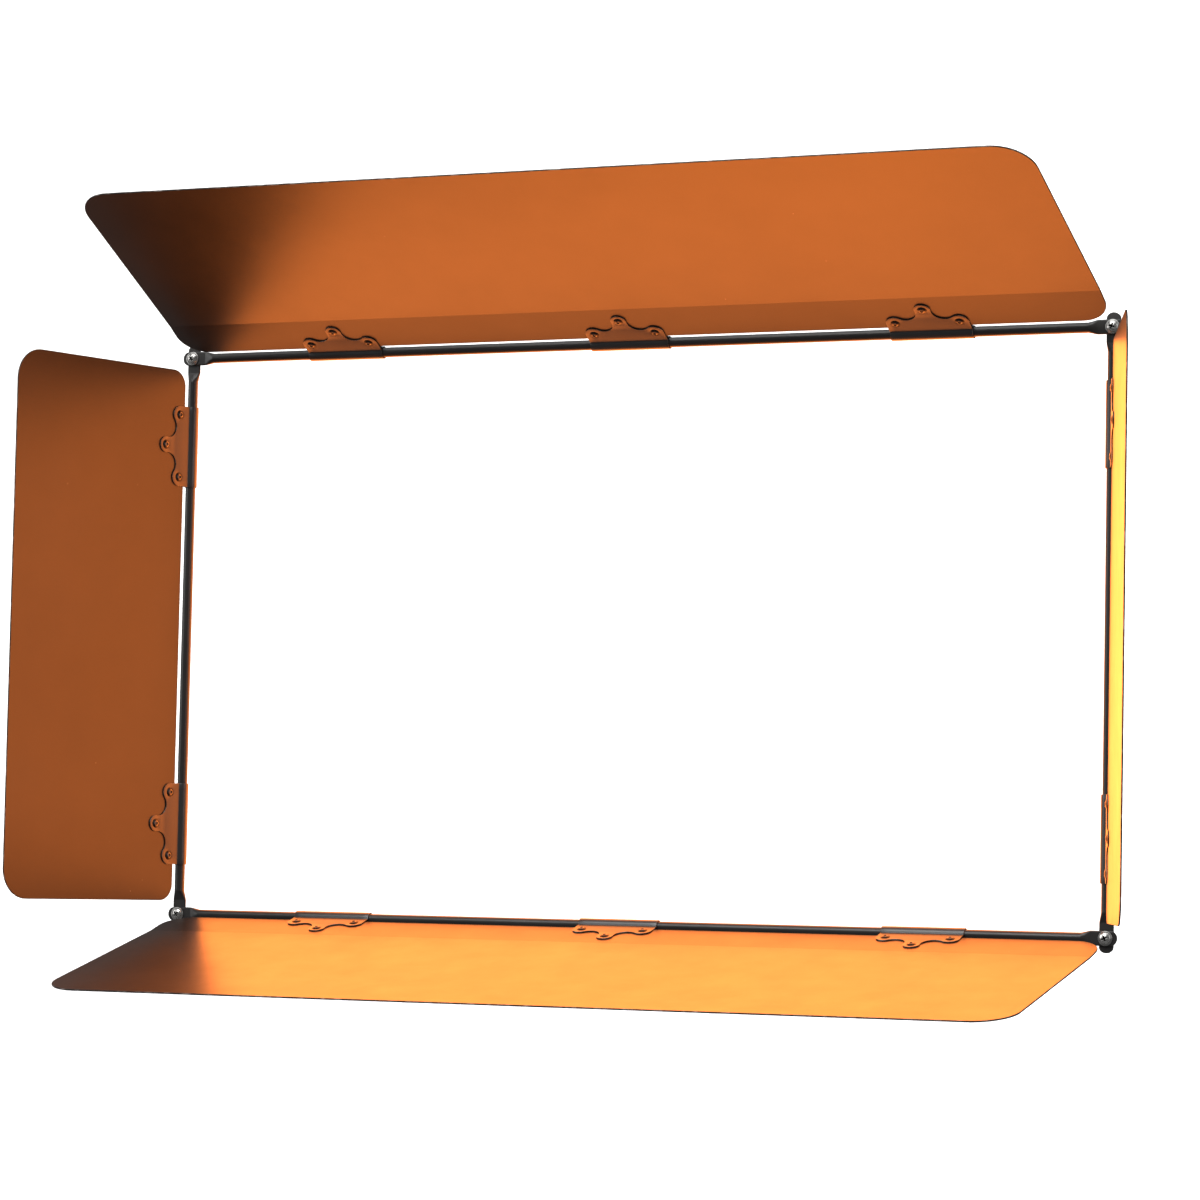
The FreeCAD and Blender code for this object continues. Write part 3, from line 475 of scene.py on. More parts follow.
print("the bend of a long leaf starts", round(CREASE_START / MM, 2), "mm out")

# %% Make the four leaves


def make_leaf(name, body, corners, bent):
    """Punches a leaf from its corners, bends it if it is a long one, and puts it on its hinge."""
    holes = [hole(u, v, RIVET_HOLE) for u, v in rivet_spots(body)]
    bm = punched_sheet(rounded_polygon(corners), holes, SHEET, SHEET_RIM)
    if bent:
        bend = CREASE_RADIUS * CREASE_BEND
        cut_across(bm, [CREASE_START + bend * k / CREASE_CUTS for k in range(CREASE_CUTS + 1)])
        for vertex in bm.verts:
            vertex.co.y, vertex.co.z = crease(vertex.co.y, vertex.co.z)
    bm.transform(hinges[body][0])
    return finish_piece(f"{name}_sheet", bm, body, leaf_coat, [name])


for body in LEAF_BODIES:
    name = next(node for node in bodies[body] if node.startswith("leaf_"))
    kind = "long" if body in ("top_leaf", "bottom_leaf") else "short"
    near = hinges[body][1]
    if kind == "long":
        half, far, taper = LONG_HALF, LONG_REACH, LONG_TAPER
    else:
        low, high = extent(name, body)
        half, far, taper = (high.x - low.x) / 2, high.y, 0.0
    corners = (
        (-half, near, NEAR_CORNER[kind]),
        (half, near, NEAR_CORNER[kind]),
        (half - taper, far, FAR_CORNER[kind]),
        (taper - half, far, FAR_CORNER[kind]),
    )
    make_leaf(name, body, corners, kind == "long")

# %% [markdown]
# ## The hinge clips
# A clip is one flat blank, punched with its rivet holes and then rolled round the tube until its two
# scalloped ends lie on the two faces of the leaf. It is built the same way here: the blank is
# drawn flat, cut across where it will bend, and every point is moved to its place on the roll.

# %% Clip sizes
TUBE_RADIUS = 3.25 * MM
CLIP_SHEET = 0.8 * MM
CLIP_RIM = 0.22 * MM
ROLL_RADIUS = TUBE_RADIUS + 0.08 * MM + CLIP_SHEET / 2
BACK_BEND = 1.2 * MM
FLANGE_W = (SHEET + CLIP_SHEET) / 2
CLIP_HALF = 27.0 * MM
LOBE_RADIUS = 6.0 * MM
NOSE_RADIUS = 5.3 * MM
WAIST_RADIUS = 7.5 * MM
ROLL_CUTS = 16
BEND_CUTS = 5
CLIP_SHARP = math.radians(28)

bend_w = FLANGE_W + BACK_BEND
bend_v = math.sqrt((ROLL_RADIUS + BACK_BEND) ** 2 - bend_w**2)
touch = math.atan2(bend_w, bend_v)
rolled = ROLL_RADIUS * (math.pi - touch)
unrolled = BACK_BEND * (math.pi / 2 - touch)
# how far along the blank a point of the flange lies, less its v
FLANGE_SHIFT = rolled + unrolled - bend_v


def roll(s, t):
    """Where a point of the blank goes: s along it from the back of the roll, t out from its middle."""
    side = 1.0 if s >= 0 else -1.0
    s = abs(s)
    if s <= rolled:
        angle = math.pi - s / ROLL_RADIUS
        v = (ROLL_RADIUS + t) * math.cos(angle)
        w = (ROLL_RADIUS + t) * math.sin(angle)
    elif s <= rolled + unrolled:
        angle = math.pi + touch + (s - rolled) / BACK_BEND
        v = bend_v + (BACK_BEND - t) * math.cos(angle)
        w = bend_w + (BACK_BEND - t) * math.sin(angle)
    else:
        v = s - FLANGE_SHIFT
        w = FLANGE_W + t
    return v, side * w


print("the flange starts", round(bend_v / MM, 2), "mm out")

# %% Draw the blank


def scalloped_end():
    """Half of the blank's outline, from its right side over the upper end to its left side."""
    lobe = Vector((RIVET_ACROSS, RIVET_NEAR + FLANGE_SHIFT))
    nose = Vector((0.0, RIVET_FAR + FLANGE_SHIFT))
    apart = (lobe - nose).length
    to_lobe = WAIST_RADIUS + LOBE_RADIUS
    to_nose = WAIST_RADIUS + NOSE_RADIUS
    along = (apart**2 + to_nose**2 - to_lobe**2) / (2 * apart)
    aside = math.sqrt(to_nose**2 - along**2)
    towards = (lobe - nose) / apart
    waist = nose + towards * along + Vector((-towards.y, towards.x)) * aside

    def heading(start, end):
        return math.atan2(end.y - start.y, end.x - start.x)

    right = arc(lobe, LOBE_RADIUS, 0.0, heading(lobe, waist))
    right += arc(waist, WAIST_RADIUS, heading(waist, lobe), heading(waist, nose) - math.tau)[1:]
    right += arc(nose, NOSE_RADIUS, heading(nose, waist), math.pi / 2)[1:]
    return right + [(-x, y) for x, y in reversed(right[:-1])]


def clip_blank():
    """The whole blank with its six holes, cut where it bends and rolled to its shape."""
    upper = scalloped_end()
    lower = [(-x, -y) for x, y in upper]
    holes = []
    for side in (1, -1):
        for x, v in ((-RIVET_ACROSS, RIVET_NEAR), (0.0, RIVET_FAR), (RIVET_ACROSS, RIVET_NEAR)):
            holes.append(hole(x, side * (v + FLANGE_SHIFT), RIVET_HOLE))
    bm = punched_sheet(upper + lower, holes, CLIP_SHEET, CLIP_RIM)
    stations = [rolled * k / ROLL_CUTS for k in range(-ROLL_CUTS, ROLL_CUTS + 1)]
    for side in (1, -1):
        stations += [side * (rolled + unrolled * k / BEND_CUTS) for k in range(1, BEND_CUTS + 1)]
    cut_across(bm, stations)
    for vertex in bm.verts:
        vertex.co.y, vertex.co.z = roll(vertex.co.y, vertex.co.z)
    for face in bm.faces:
        face.smooth = True
    for edge in bm.edges:
        edge.smooth = edge.calc_face_angle(0.0) < CLIP_SHARP
    return bm


print("blank is", round((rolled + unrolled) * 2 / MM, 2), "mm round the roll and its bends")

# %% Roll a clip onto every place
for body in LEAF_BODIES:
    matrix = hinges[body][0]
    for name in [node for node in bodies[body] if node.startswith("hinge_clip_")]:
        low, high = extent(name, body)
        bm = clip_blank()
        bm.transform(matrix @ Matrix.Translation(((low.x + high.x) / 2, 0, 0)))
        finish_piece(f"{name}_rolled", bm, body, clip_coat, [name])

# %% [markdown]
# ## Turned shapes
# Rivets, washers and screw heads are all round about one axis, so one lathe makes them: it spins a
# profile of (radius, height) points. A ring with no radius becomes one point at the pole, and the
# profile may close on itself, as it does for a washer.

# %% A lathe
RIVET_SIDES = 24
FIXING_SIDES = 48
TURNED_SHARP = math.radians(32)


def lathe(profile, turns, closed=False, marks=()):
    """Spins a profile that runs anticlockwise round its metal, seen with the axis on the left."""
    bm = bmesh.new()
    crown = bm.faces.layers.float.new("crown")
    rings = []
    for radius, height in profile:
        if radius == 0:
            rings.append([bm.verts.new((0, 0, height))])
            continue
        angles = [math.tau * k / turns for k in range(turns)]
        rings.append([bm.verts.new((radius * math.cos(a), radius * math.sin(a), height)) for a in angles])
    pairs = list(zip(rings, rings[1:]))
    if closed:
        pairs.append((rings[-1], rings[0]))
    for number, (one, two) in enumerate(pairs):
        for k in range(turns):
            after = (k + 1) % turns
            corners = [one[k % len(one)], one[after % len(one)], two[after % len(two)], two[k % len(two)]]
            unique = list(dict.fromkeys(corners))
            if len(unique) > 2:
                face = bm.faces.new(unique)
                face.smooth = True
                face[crown] = 1.0 if number in marks else 0.0
    for edge in bm.edges:
        edge.smooth = edge.calc_face_angle(0.0) < TURNED_SHARP
    return bm


def quarter(centre, radius, start, end, steps=4):
    """Profile points round a small corner, in degrees."""
    angles = [math.radians(start + (end - start) * k / steps) for k in range(steps + 1)]
    return [(centre[0] + radius * math.cos(a), centre[1] + radius * math.sin(a)) for a in angles]


def loose_object(name, bm):
    """An object that rides on nothing: a pattern for a node tree, a cutter or the backdrop."""
    mesh = bpy.data.meshes.new(name)
    bm.to_mesh(mesh)
    bm.free()
    made = bpy.data.objects.new(name, mesh)
    bpy.context.scene.collection.objects.link(made)
    return made


print("the lathe gives a rivet", RIVET_SIDES, "sides and a fixing", FIXING_SIDES)

# %% [markdown]
# ## Blind rivets
# A blind rivet has a low dome with a hole in its middle, where the stub of the pulled pin sits below
# the surface. On the blind side its body is squeezed into a bulb. One rivet is turned, and a node
# tree sets it on every hole of a leaf, each turned by a random angle.

# %% Turn one rivet
STACK = SHEET / 2 + CLIP_SHEET
RIVET_BODY = 1.6 * MM
HEAD_RADIUS = 3.0 * MM
HEAD_HEIGHT = 1.1 * MM
PIN_HOLE = 0.9 * MM
BULB_RADIUS = 2.3 * MM
BULB_HEIGHT = 2.2 * MM
HEAD_EDGE = 0.18 * MM
HOLE_LIP = 0.12 * MM
DOME_STEPS = 7
# radius and depth below the crown, down the hole and then over the stub of the pin
PIN_STEPS = (
    (PIN_HOLE, 0.1 * MM),
    (PIN_HOLE, 0.75 * MM),
    (0.62 * MM, 0.70 * MM),
    (0.5 * MM, 0.45 * MM),
    (0.0, 0.38 * MM),
)


def dome_height(radius):
    """Height of the dome above the clip, at a distance from the axis."""
    ball = (HEAD_RADIUS**2 + HEAD_HEIGHT**2) / (2 * HEAD_HEIGHT)
    return HEAD_HEIGHT - ball + math.sqrt(ball**2 - radius**2)


def rivet_profile():
    """The profile of a rivet from its blind end up, and which of its rings carry the crown mark."""
    half_bulb = BULB_HEIGHT / 2
    profile = [(0, -STACK - BULB_HEIGHT)]
    profile += quarter((BULB_RADIUS - half_bulb, -STACK - half_bulb), half_bulb, -90, 60, 8)
    profile += [(RIVET_BODY, -STACK), (RIVET_BODY, STACK)]
    profile += [(HEAD_RADIUS - HEAD_EDGE, STACK), (HEAD_RADIUS, STACK + HEAD_EDGE)]
    lip = PIN_HOLE + HOLE_LIP
    for k in range(1, DOME_STEPS + 1):
        radius = HEAD_RADIUS + (lip - HEAD_RADIUS) * k / DOME_STEPS
        profile.append((radius, STACK + dome_height(radius)))
    top = STACK + dome_height(PIN_HOLE)
    crown_starts = len(profile) - 3
    pin_starts = len(profile) + 1
    profile += [(radius, top - depth) for radius, depth in PIN_STEPS]
    marks = list(range(crown_starts - 1, crown_starts + 2)) + list(range(pin_starts, len(profile) - 1))
    return profile, marks


profile, marks = rivet_profile()
rivet_pattern = loose_object("rivet_pattern", lathe(profile, RIVET_SIDES, marks=marks))
print("one rivet:", len(rivet_pattern.data.polygons), "faces")

# %% [markdown]
# ## A node tree that sets rivets
# Each clip holds three rivets in a flat triangle. A line of three points with its middle point
# pushed out gives that triangle, a second line gives the clips, and copying one onto the other
# gives every rivet of the leaf. The sizes are the tree's inputs, so one tree serves all leaves.

# %% Build the rivet tree


def new_tree(name, inputs):
    """An empty geometry tree with named inputs and one geometry output."""
    tree = bpy.data.node_groups.new(name, "GeometryNodeTree")
    tree.interface.new_socket("Geometry", in_out="OUTPUT", socket_type="NodeSocketGeometry")
    for label, kind in inputs:
        tree.interface.new_socket(label, in_out="INPUT", socket_type=kind)
    return tree, tree.nodes.new("NodeGroupInput").outputs, tree.nodes.new("NodeGroupOutput")


def place(tree, x=0.0, y=0.0, z=0.0):
    """A point or a direction from three numbers or outputs."""
    return add(tree, "ShaderNodeCombineXYZ", {"X": x, "Y": y, "Z": z}).outputs[0]


def calculate(tree, operation, first, second):
    return add(tree, "ShaderNodeMath", {0: first, 1: second}, operation=operation).outputs[0]


def copies(tree, points, pattern, seed):
    """Copies of a pattern object on points, each turned about its own axis at random."""
    turn = add(tree, "FunctionNodeRandomValue", {"Seed": seed}, data_type="FLOAT")
    turn.inputs[3].default_value = math.tau
    angle = place(tree, z=turn.outputs[1])
    source = add(tree, "GeometryNodeObjectInfo", {"Object": pattern}).outputs["Geometry"]
    inputs = {"Points": points, "Instance": source, "Rotation": angle}
    return add(tree, "GeometryNodeInstanceOnPoints", inputs).outputs[0]


def finish_tree(tree, out, geometry, material):
    """Real meshes instead of copies, painted, because the export drops copies."""
    real = add(tree, "GeometryNodeRealizeInstances", {"Geometry": geometry}).outputs[0]
    painted = add(tree, "GeometryNodeSetMaterial", {"Geometry": real, "Material": material}).outputs[0]
    tree.links.new(painted, out.inputs["Geometry"])


def rivet_tree():
    """Rivets in threes, on the clips that stand in a line along u."""
    tree, given, out = new_tree(
        "set_rivets",
        (
            ("Rivet", "NodeSocketObject"),
            ("Material", "NodeSocketMaterial"),
            ("Across", "NodeSocketFloat"),
            ("Near", "NodeSocketFloat"),
            ("Far", "NodeSocketFloat"),
            ("Outer clip", "NodeSocketFloat"),
            ("Clips", "NodeSocketInt"),
            ("Seed", "NodeSocketInt"),
        ),
    )
    minus = calculate(tree, "MULTIPLY", given["Across"], -1.0)
    ends = {"Start Location": place(tree, minus, given["Near"]), "Count": 3}
    three = add(tree, "GeometryNodeMeshLine", ends, mode="END_POINTS")
    tree.links.new(place(tree, given["Across"], given["Near"]), three.inputs["Offset"])
    index = add(tree, "GeometryNodeInputIndex").outputs[0]
    middle = add(tree, "FunctionNodeCompare", {2: index, 3: 1}, data_type="INT", operation="EQUAL")
    push = place(tree, y=calculate(tree, "SUBTRACT", given["Far"], given["Near"]))
    inputs = {"Geometry": three.outputs[0], "Selection": middle.outputs[0], "Offset": push}
    triangle = add(tree, "GeometryNodeSetPosition", inputs).outputs[0]
    back = calculate(tree, "MULTIPLY", given["Outer clip"], -1.0)
    line = {"Start Location": place(tree, back), "Count": given["Clips"]}
    clips = add(tree, "GeometryNodeMeshLine", line, mode="END_POINTS")
    tree.links.new(place(tree, given["Outer clip"]), clips.inputs["Offset"])
    spots = add(tree, "GeometryNodeInstanceOnPoints", {"Points": clips.outputs[0], "Instance": triangle})
    real = add(tree, "GeometryNodeRealizeInstances", {"Geometry": spots.outputs[0]}).outputs[0]
    set_on = copies(tree, real, given["Rivet"], given["Seed"])
    finish_tree(tree, out, set_on, given["Material"])
    return tree


def grow(tree, values):
    """Runs a tree once and returns the mesh that it makes."""
    carrier = bpy.data.objects.new("carrier", bpy.data.meshes.new("carrier"))
    bpy.context.scene.collection.objects.link(carrier)
    modifier = carrier.modifiers.new(tree.name, "NODES")
    modifier.node_group = tree
    sockets = {item.name: item.identifier for item in tree.interface.items_tree if item.in_out == "INPUT"}
    for label, value in values.items():
        modifier[sockets[label]] = value
    bpy.context.view_layer.update()
    evaluated = carrier.evaluated_get(bpy.context.evaluated_depsgraph_get())
    mesh = bpy.data.meshes.new_from_object(evaluated)
    carrier.modifiers.clear()
    bpy.data.objects.remove(carrier)
    return mesh


rivets = rivet_tree()
print("the rivet tree has", len(rivets.nodes), "nodes")

# %% Set the rivets of every leaf
for seed, body in enumerate(LEAF_BODIES, start=3):
    middles = clip_middles(body)
    mesh = grow(
        rivets,
        {
            "Rivet": rivet_pattern,
            "Material": rivet_metal,
            "Across": RIVET_ACROSS,
            "Near": RIVET_NEAR,
            "Far": RIVET_FAR,
            "Outer clip": middles[-1],
            "Clips": len(middles),
            "Seed": seed,
        },
    )
    mesh.transform(hinges[body][0])
    replaced = [node for node in bodies[body] if node.startswith("clip_rivets_")]
    finish_mesh(f"rivets_{body}", mesh, body, rivet_metal, replaced)
bpy.data.objects.remove(rivet_pattern)

# %% [markdown]
# ## Corner fixings
# A pan-head screw on a plain washer clamps the pressed ends of the tubes at each corner. The head is
# turned on the lathe and its cross recess is cut with a tapered cutter. The thread is a shank whose
# radius rises and falls with the height and the angle together, which makes one continuous helix.

# %% Turn a washer
WASHER_OUTER = 4.5 * MM
WASHER_BORE = 2.15 * MM
WASHER_THICK = 0.8 * MM
WASHER_ROUND = 0.2 * MM


def washer_shape():
    """A flat ring with four rounded corners, its lower face at zero."""
    corners = (
        (WASHER_BORE, 0.0, -180, -90, 1, 1),
        (WASHER_OUTER, 0.0, -90, 0, -1, 1),
        (WASHER_OUTER, WASHER_THICK, 0, 90, -1, -1),
        (WASHER_BORE, WASHER_THICK, 90, 180, 1, -1),
    )
    profile = []
    for radius, height, start, end, inwards, upwards in corners:
        centre = (radius + inwards * WASHER_ROUND, height + upwards * WASHER_ROUND)
        profile += quarter(centre, WASHER_ROUND, start, end, 3)
    return lathe(profile, FIXING_SIDES, closed=True)


washer_pattern = loose_object("washer_pattern", washer_shape())
print("one washer:", len(washer_pattern.data.polygons), "faces")

# %% Turn a screw head and cut its cross
SCREW_THREAD = 2.0 * MM
SCREW_ROOT = 1.62 * MM
SCREW_NECK = 1.75 * MM
SCREW_PITCH = 0.7 * MM
SCREW_LENGTH = 16.0 * MM
STACK_DEPTH = 4.2 * MM
HEAD_OUTER = 3.6 * MM
HEAD_TALL = 2.0 * MM
HEAD_SHOULDER = 0.25 * MM
CROWN_SHARE = 0.65
CROWN_STEPS = 12
# the head and the shank are closed shells that overlap in the neck
HEAD_STUB = 0.6 * MM
SHANK_TOP = 0.55 * MM
CROWN_DROP = HEAD_TALL * CROWN_SHARE
CROWN_BALL = (HEAD_OUTER**2 + CROWN_DROP**2) / (2 * CROWN_DROP)
CROSS_SPAN = 2.2 * MM
CROSS_WING = 0.525 * MM
CROSS_DEPTH = 1.4 * MM
CUTTER_LIFT = 0.5 * MM
# shares of the cross's span and wing at the top and at the foot of the cutter
CUTTER_TOP = (1.12, 1.08)
CUTTER_FOOT = (0.42, 0.7)


def screw_head():
    """A pan head: flat rim, round shoulder and a crown that is one arc."""
    profile = [(0, -HEAD_STUB), (SCREW_NECK, -HEAD_STUB), (SCREW_NECK, 0.0)]
    profile += quarter((HEAD_OUTER - HEAD_SHOULDER, HEAD_SHOULDER), HEAD_SHOULDER, -90, 0, 3)
    for k in range(1, CROWN_STEPS + 1):
        radius = HEAD_OUTER * math.cos(math.pi / 2 * k / CROWN_STEPS)
        crown = HEAD_TALL - CROWN_BALL + math.sqrt(CROWN_BALL**2 - radius**2)
        profile.append((0 if k == CROWN_STEPS else radius, crown))
    return lathe(profile, FIXING_SIDES)


def cross_cutter():
    """Two crossed wedges that narrow towards the bottom of the recess."""
    bm = bmesh.new()
    levels = ((HEAD_TALL + CUTTER_LIFT, CUTTER_TOP), (HEAD_TALL - CROSS_DEPTH, CUTTER_FOOT))
    rings = []
    for height, (span_share, wing_share) in levels:
        span = CROSS_SPAN * span_share
        wing = CROSS_WING * wing_share
        ring = []
        for turn in range(4):
            spin = Matrix.Rotation(math.pi / 2 * turn, 3, "Z")
            for x, y in ((wing, wing), (wing, span), (-wing, span)):
                ring.append(bm.verts.new(spin @ Vector((x, y, height))))
        rings.append(ring)
    bm.faces.new(rings[0])
    bm.faces.new(reversed(rings[1]))
    for k in range(12):
        bm.faces.new((rings[0][k - 1], rings[1][k - 1], rings[1][k], rings[0][k]))
    return bm


def carve(piece, cutter):
    """Cuts one object out of another, and removes the cutter."""
    cut = piece.modifiers.new("cut", "BOOLEAN")
    cut.object = cutter
    cut.operation = "DIFFERENCE"
    cut.solver = "EXACT"
    bpy.context.view_layer.update()
    evaluated = piece.evaluated_get(bpy.context.evaluated_depsgraph_get())
    mesh = bpy.data.meshes.new_from_object(evaluated)
    piece.modifiers.clear()
    piece.data = mesh
    bpy.data.objects.remove(cutter)


print("a head's crown is part of a ball of radius", round(CROWN_BALL / MM, 2), "mm")

# %% Thread the shank
THREAD_COLUMNS = 24
THREAD_ROWS = 8
NECK_SHOULDER = 0.12 * MM
# how far below the crown the painted shade of the recess starts, and how far out it reaches
RECESS_SHADE_BELOW = 0.06 * MM
RECESS_SHADE_REACH = CROSS_SPAN * 1.1


def shank():
    """The neck and the thread below the head, as rings from the tip up."""
    length = SCREW_LENGTH - STACK_DEPTH
    rows = round(length / SCREW_PITCH * THREAD_ROWS)
    bm = bmesh.new()
    rings = []
    for row in range(rows + 1):
        z = -SCREW_LENGTH + length * row / rows
        fade = min(1.0, (z + SCREW_LENGTH) / SCREW_PITCH, (-STACK_DEPTH - z) / SCREW_PITCH + 0.2)
        ring = []
        for column in range(THREAD_COLUMNS):
            angle = math.tau * column / THREAD_COLUMNS
            phase = (z / SCREW_PITCH - angle / math.tau) % 1.0
            # the crest, the root and each flank take a quarter of the pitch
            rise = max(0.0, min(1.0, 1.5 - abs(phase - 0.5) * 4)) * fade
            radius = SCREW_ROOT + (SCREW_THREAD - SCREW_ROOT) * rise
            ring.append(bm.verts.new((radius * math.cos(angle), radius * math.sin(angle), z)))
        rings.append(ring)
    for height in (-STACK_DEPTH + NECK_SHOULDER, -SHANK_TOP):
        angles = [math.tau * column / THREAD_COLUMNS for column in range(THREAD_COLUMNS)]
        neck = [(SCREW_NECK * math.cos(a), SCREW_NECK * math.sin(a), height) for a in angles]
        rings.append([bm.verts.new(point) for point in neck])
    for below, above in zip(rings, rings[1:]):
        for k in range(THREAD_COLUMNS):
            face = bm.faces.new((below[k - 1], below[k], above[k], above[k - 1]))
            face.smooth = True
    bm.faces.new(reversed(rings[0]))
    bm.faces.new(rings[-1])
    return bm


def mark_recess_shade(bm):
    """Marks the walls and the floor of the recess, which lie below the crown, for painted shade that
    darkens them.
    """
    grime = bm.faces.layers.float.new("grime")
    for face in bm.faces:
        middle = face.calc_center_median()
        inside = math.hypot(middle.x, middle.y) < RECESS_SHADE_REACH and middle.z > 0
        crown_height = HEAD_TALL - RECESS_SHADE_BELOW - middle.xy.length_squared / (2 * CROWN_BALL)
        face[grime] = 1.0 if inside and middle.z < crown_height else 0.0


screw_pattern = loose_object("screw_head_pattern", screw_head())
carve(screw_pattern, loose_object("cross_cutter", cross_cutter()))
joined = bmesh.new()
joined.from_mesh(screw_pattern.data)
# marks the recess of the cross for painted shade
mark_recess_shade(joined)
thread_mesh = bpy.data.meshes.new("thread")
thread = shank()
thread.to_mesh(thread_mesh)
thread.free()
joined.from_mesh(thread_mesh)
joined.to_mesh(screw_pattern.data)
joined.free()
print("one screw:", len(screw_pattern.data.polygons), "faces")

# %% [markdown]
# ## A node tree for the four corners
# The corners are a grid of two by two points, as wide and as high as the screw pattern. The tree
# copies a fixing onto each and gives each its own turn, because a screw stops where it gets tight.

# %% Set the fixings


def corner_tree():
    """A fixing on each corner of a flat grid, as wide and as high as its inputs say."""
    tree, given, out = new_tree(
        "set_corner_fixings",
        (
            ("Fixing", "NodeSocketObject"),
            ("Material", "NodeSocketMaterial"),
            ("Pitch across", "NodeSocketFloat"),
            ("Pitch up", "NodeSocketFloat"),
            ("Seed", "NodeSocketInt"),
        ),
    )
    sizes = {"Size X": given["Pitch across"], "Size Y": given["Pitch up"]}
    counts = {"Vertices X": 2, "Vertices Y": 2}
    grid = add(tree, "GeometryNodeMeshGrid", {**sizes, **counts}).outputs[0]
    points = add(tree, "GeometryNodeMeshToPoints", {"Mesh": grid}).outputs[0]
    set_on = copies(tree, points, given["Fixing"], given["Seed"])
    finish_tree(tree, out, set_on, given["Material"])
    return tree


def middle_of(node):
    low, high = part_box(node)
    return (Vector(low) + Vector(high)) / 2


CORNERS = ("top_left", "top_right", "bottom_left", "bottom_right")
reach = middle_of("corner_washer_top_right") - middle_of("corner_washer_bottom_left")
pitch_across = reach.x
pitch_up = reach.z
washer_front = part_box("corner_washer_top_left")[0][1]
washer_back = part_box("corner_washer_top_left")[1][1]
corners = corner_tree()
facing = Matrix.Rotation(math.pi / 2, 4, "X")
fixings = (
    ("corner_screws", screw_pattern, screw_zinc, "screw_zinc", washer_front, "corner_screw_", 11),
    ("corner_washers", washer_pattern, washer_zinc, "washer_zinc", washer_back, "corner_washer_", 4),
)
for name, pattern, material, slot_name, y, nodes, seed in fixings:
    values = {"Fixing": pattern, "Material": material, "Seed": seed}
    values["Pitch across"] = pitch_across
    values["Pitch up"] = pitch_up
    mesh = grow(corners, values)
    mesh.transform(Matrix.Translation((0, y, 0)) @ facing)
    finish_mesh(name, mesh, "frame", material, [nodes + corner for corner in CORNERS])
    bpy.data.objects.remove(pattern)

# %% [markdown]
# ## The tubes
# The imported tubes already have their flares, pressed ends and slits, so they stay and take the coat.

# %% Coat the tubes
for side in ("top", "bottom", "left", "right"):
    tube = frame["nodes"][f"frame_tube_{side}"]
    for material_slot in tube.material_slots:
        material_slot.material = tube_coat
    print(tube.name, "takes", tube_coat.name)

# %% [markdown]
# ## Stage, light and camera
# The floor runs up into the backdrop in one curve, so that no horizon shows. Four soft boxes light the
# object and two more wash only the backdrop, to keep it white. The glow of the big light that the
# leaves shade is three amber area lamps in the opening, one inside the other, so that the glow fades
# towards its edge. They are kept off the backdrop, because only the object is meant to catch them.

# %% The stage
FLOOR_Z = -0.385
SWEEP_RADIUS = 1.2
SWEEP_STEPS = 24
STAGE_HALF = 7.0
STAGE_FRONT = -6.0
STAGE_BACK = 3.4
STAGE_TOP = 6.0
PAPER = ((0.86, 0.86, 0.86), (0.90, 0.90, 0.90))
PAPER_CLOUDS_PER_M = 3.0


def stage_mesh():
    """A strip of paper: flat, then curved up, then upright, as (y, z) points drawn out along X."""
    bm = bmesh.new()
    path = [(STAGE_FRONT, FLOOR_Z)]
    for k in range(SWEEP_STEPS + 1):
        a = math.radians(-90 + 90 * k / SWEEP_STEPS)
        y = STAGE_BACK + SWEEP_RADIUS * math.cos(a)
        path.append((y, FLOOR_Z + SWEEP_RADIUS * (1 + math.sin(a))))
    path.append((STAGE_BACK + SWEEP_RADIUS, STAGE_TOP))
    rows = [[bm.verts.new((x, y, z)) for x in (-STAGE_HALF, STAGE_HALF)] for y, z in path]
    for near, far in zip(rows, rows[1:]):
        face = bm.faces.new((near[0], near[1], far[1], far[0]))
        face.smooth = True
    return bm


def pale_paper():
    material, tree, shader, where = start_material("pale_paper", Roughness=0.9)
    colour = blend_colour(tree, noise(tree, where, PAPER_CLOUDS_PER_M), *PAPER)
    tree.links.new(colour, shader.inputs["Base Color"])
    return material


backdrop = loose_object("backdrop", stage_mesh())
backdrop.data.materials.append(pale_paper())
# black satin would mirror white paper, so the backdrop shows in no reflection and lights nothing
backdrop.visible_glossy = False
backdrop.visible_diffuse = False
print("backdrop:", len(backdrop.data.polygons), "faces")

# %% The soft boxes and the world


def area_light(name, at, look_at, width, height, watts, colour=(1.0, 1.0, 1.0)):
    """A rectangular lamp that the camera doesn't see."""
    data = bpy.data.lights.new(name, "AREA")
    data.shape = "RECTANGLE"
    data.size = width
    data.size_y = height
    data.energy = watts
    data.color = colour
    lamp = bpy.data.objects.new(name, data)
    lamp.location = at
    lamp.rotation_euler = (Vector(look_at) - Vector(at)).to_track_quat("-Z", "Y").to_euler()
    bpy.context.scene.collection.objects.link(lamp)
    lamp.visible_camera = False
    return lamp


def only_for(lamp, piece, state):
    """Lights only the piece, or all but the piece."""
    group = bpy.data.collections.new(f"{lamp.name}_{state.lower()}")
    group.objects.link(piece)
    lamp.light_linking.receiver_collection = group
    for entry in group.collection_objects:
        entry.light_linking.link_state = state


# name, place, width, height and watts
SOFT_BOXES = (
    ("soft_top", (0.0, -0.6, 2.6), 3.0, 2.4, 45),
    ("soft_front", (-0.5, -2.6, 2.2), 2.2, 1.6, 80),
    ("soft_left", (-2.6, -1.4, 0.9), 1.8, 2.2, 34),
    ("soft_right", (2.6, -0.6, 0.8), 1.8, 2.2, 24),
)
for name, at, width, height, watts in SOFT_BOXES:
    area_light(name, at, (0, 0, 0), width, height, watts)
floor_wash = area_light("floor_wash", (0.0, -0.5, 3.6), (0, 1.0, 0), 7.0, 7.0, 330)
wall_wash = area_light("wall_wash", (0.0, -1.5, 2.6), (0, 4.6, 1.2), 11.0, 4.0, 700)
for wash in (floor_wash, wall_wash):
    only_for(wash, backdrop, "INCLUDE")

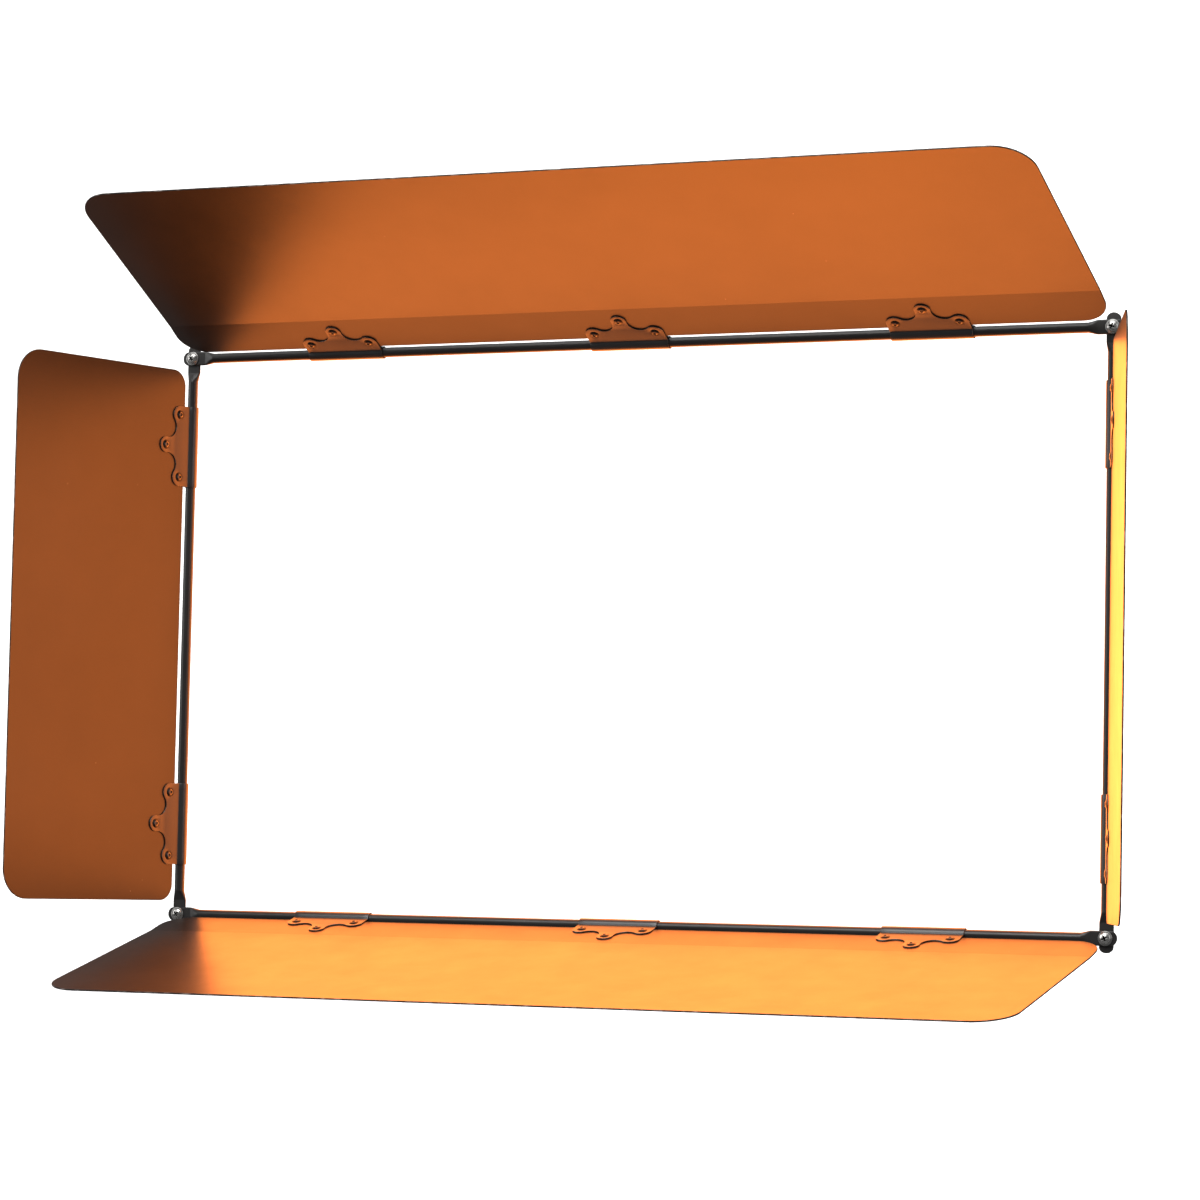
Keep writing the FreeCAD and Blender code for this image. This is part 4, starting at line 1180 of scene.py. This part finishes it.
ROOM_STRENGTH = 0.24
world = bpy.data.worlds.new("white_room")
world.use_nodes = True
room = world.node_tree.nodes["Background"].inputs
room["Color"].default_value = (1.0, 1.0, 1.0, 1.0)
room["Strength"].default_value = ROOM_STRENGTH
bpy.context.scene.world = world
bpy.context.scene.view_settings.view_transform = "Standard"
bpy.context.scene.view_settings.gamma = 0.88
print(len(SOFT_BOXES), "soft boxes and two washes, room strength", ROOM_STRENGTH)

# %% The amber glow
GLOW_DEPTH = 10.0 * MM
GLOW_AMBER = (1.0, 0.262, 0.038)
# how far inside the screw pattern each lamp ends, its watts and how wide it shines, in degrees
GLOW_STEPS = ((6.0 * MM, 5.6, 160), (40.0 * MM, 9.4, 156), (90.0 * MM, 12.2, 156))
glow_at = (0, GLOW_DEPTH, 0)
for number, (margin, watts, spread_degrees) in enumerate(GLOW_STEPS):
    width = pitch_across - 2 * margin
    height = pitch_up - 2 * margin
    name = f"amber_glow_{number}"
    glow = area_light(name, glow_at, (0, -1, 0), width, height, watts, GLOW_AMBER)
    glow.data.spread = math.radians(spread_degrees)
    only_for(glow, backdrop, "EXCLUDE")
    print(glow.name, round(width, 3), "x", round(height, 3), "m")

# %% [markdown]
# ## Camera
# The camera stands low and to the right of the light's middle, a good way back, and leans a little.

# %% Place the camera
CAMERA_AIM = Vector((-0.0190, 0.0, 0.0216))
CAMERA_DISTANCE = 2.598
CAMERA_AROUND = math.radians(23.33)
CAMERA_UP = math.radians(-3.82)
CAMERA_LEAN = math.radians(1.184)
CAMERA_LENS = 121.3

from_aim = Vector(
    (
        math.sin(CAMERA_AROUND) * math.cos(CAMERA_UP),
        -math.cos(CAMERA_AROUND) * math.cos(CAMERA_UP),
        math.sin(CAMERA_UP),
    )
)
camera_data = bpy.data.cameras.new("camera")
camera_data.lens = CAMERA_LENS
camera_data.sensor_width = 36.0
camera = bpy.data.objects.new("camera", camera_data)
turn = (-from_aim).to_track_quat("-Z", "Y").to_matrix().to_4x4()
place_of_camera = Matrix.Translation(CAMERA_AIM + from_aim * CAMERA_DISTANCE)
camera.matrix_world = place_of_camera @ turn @ Matrix.Rotation(CAMERA_LEAN, 4, "Z")
bpy.context.scene.collection.objects.link(camera)
bpy.context.scene.camera = camera
print("camera at", [round(x, 3) for x in camera.matrix_world.translation])
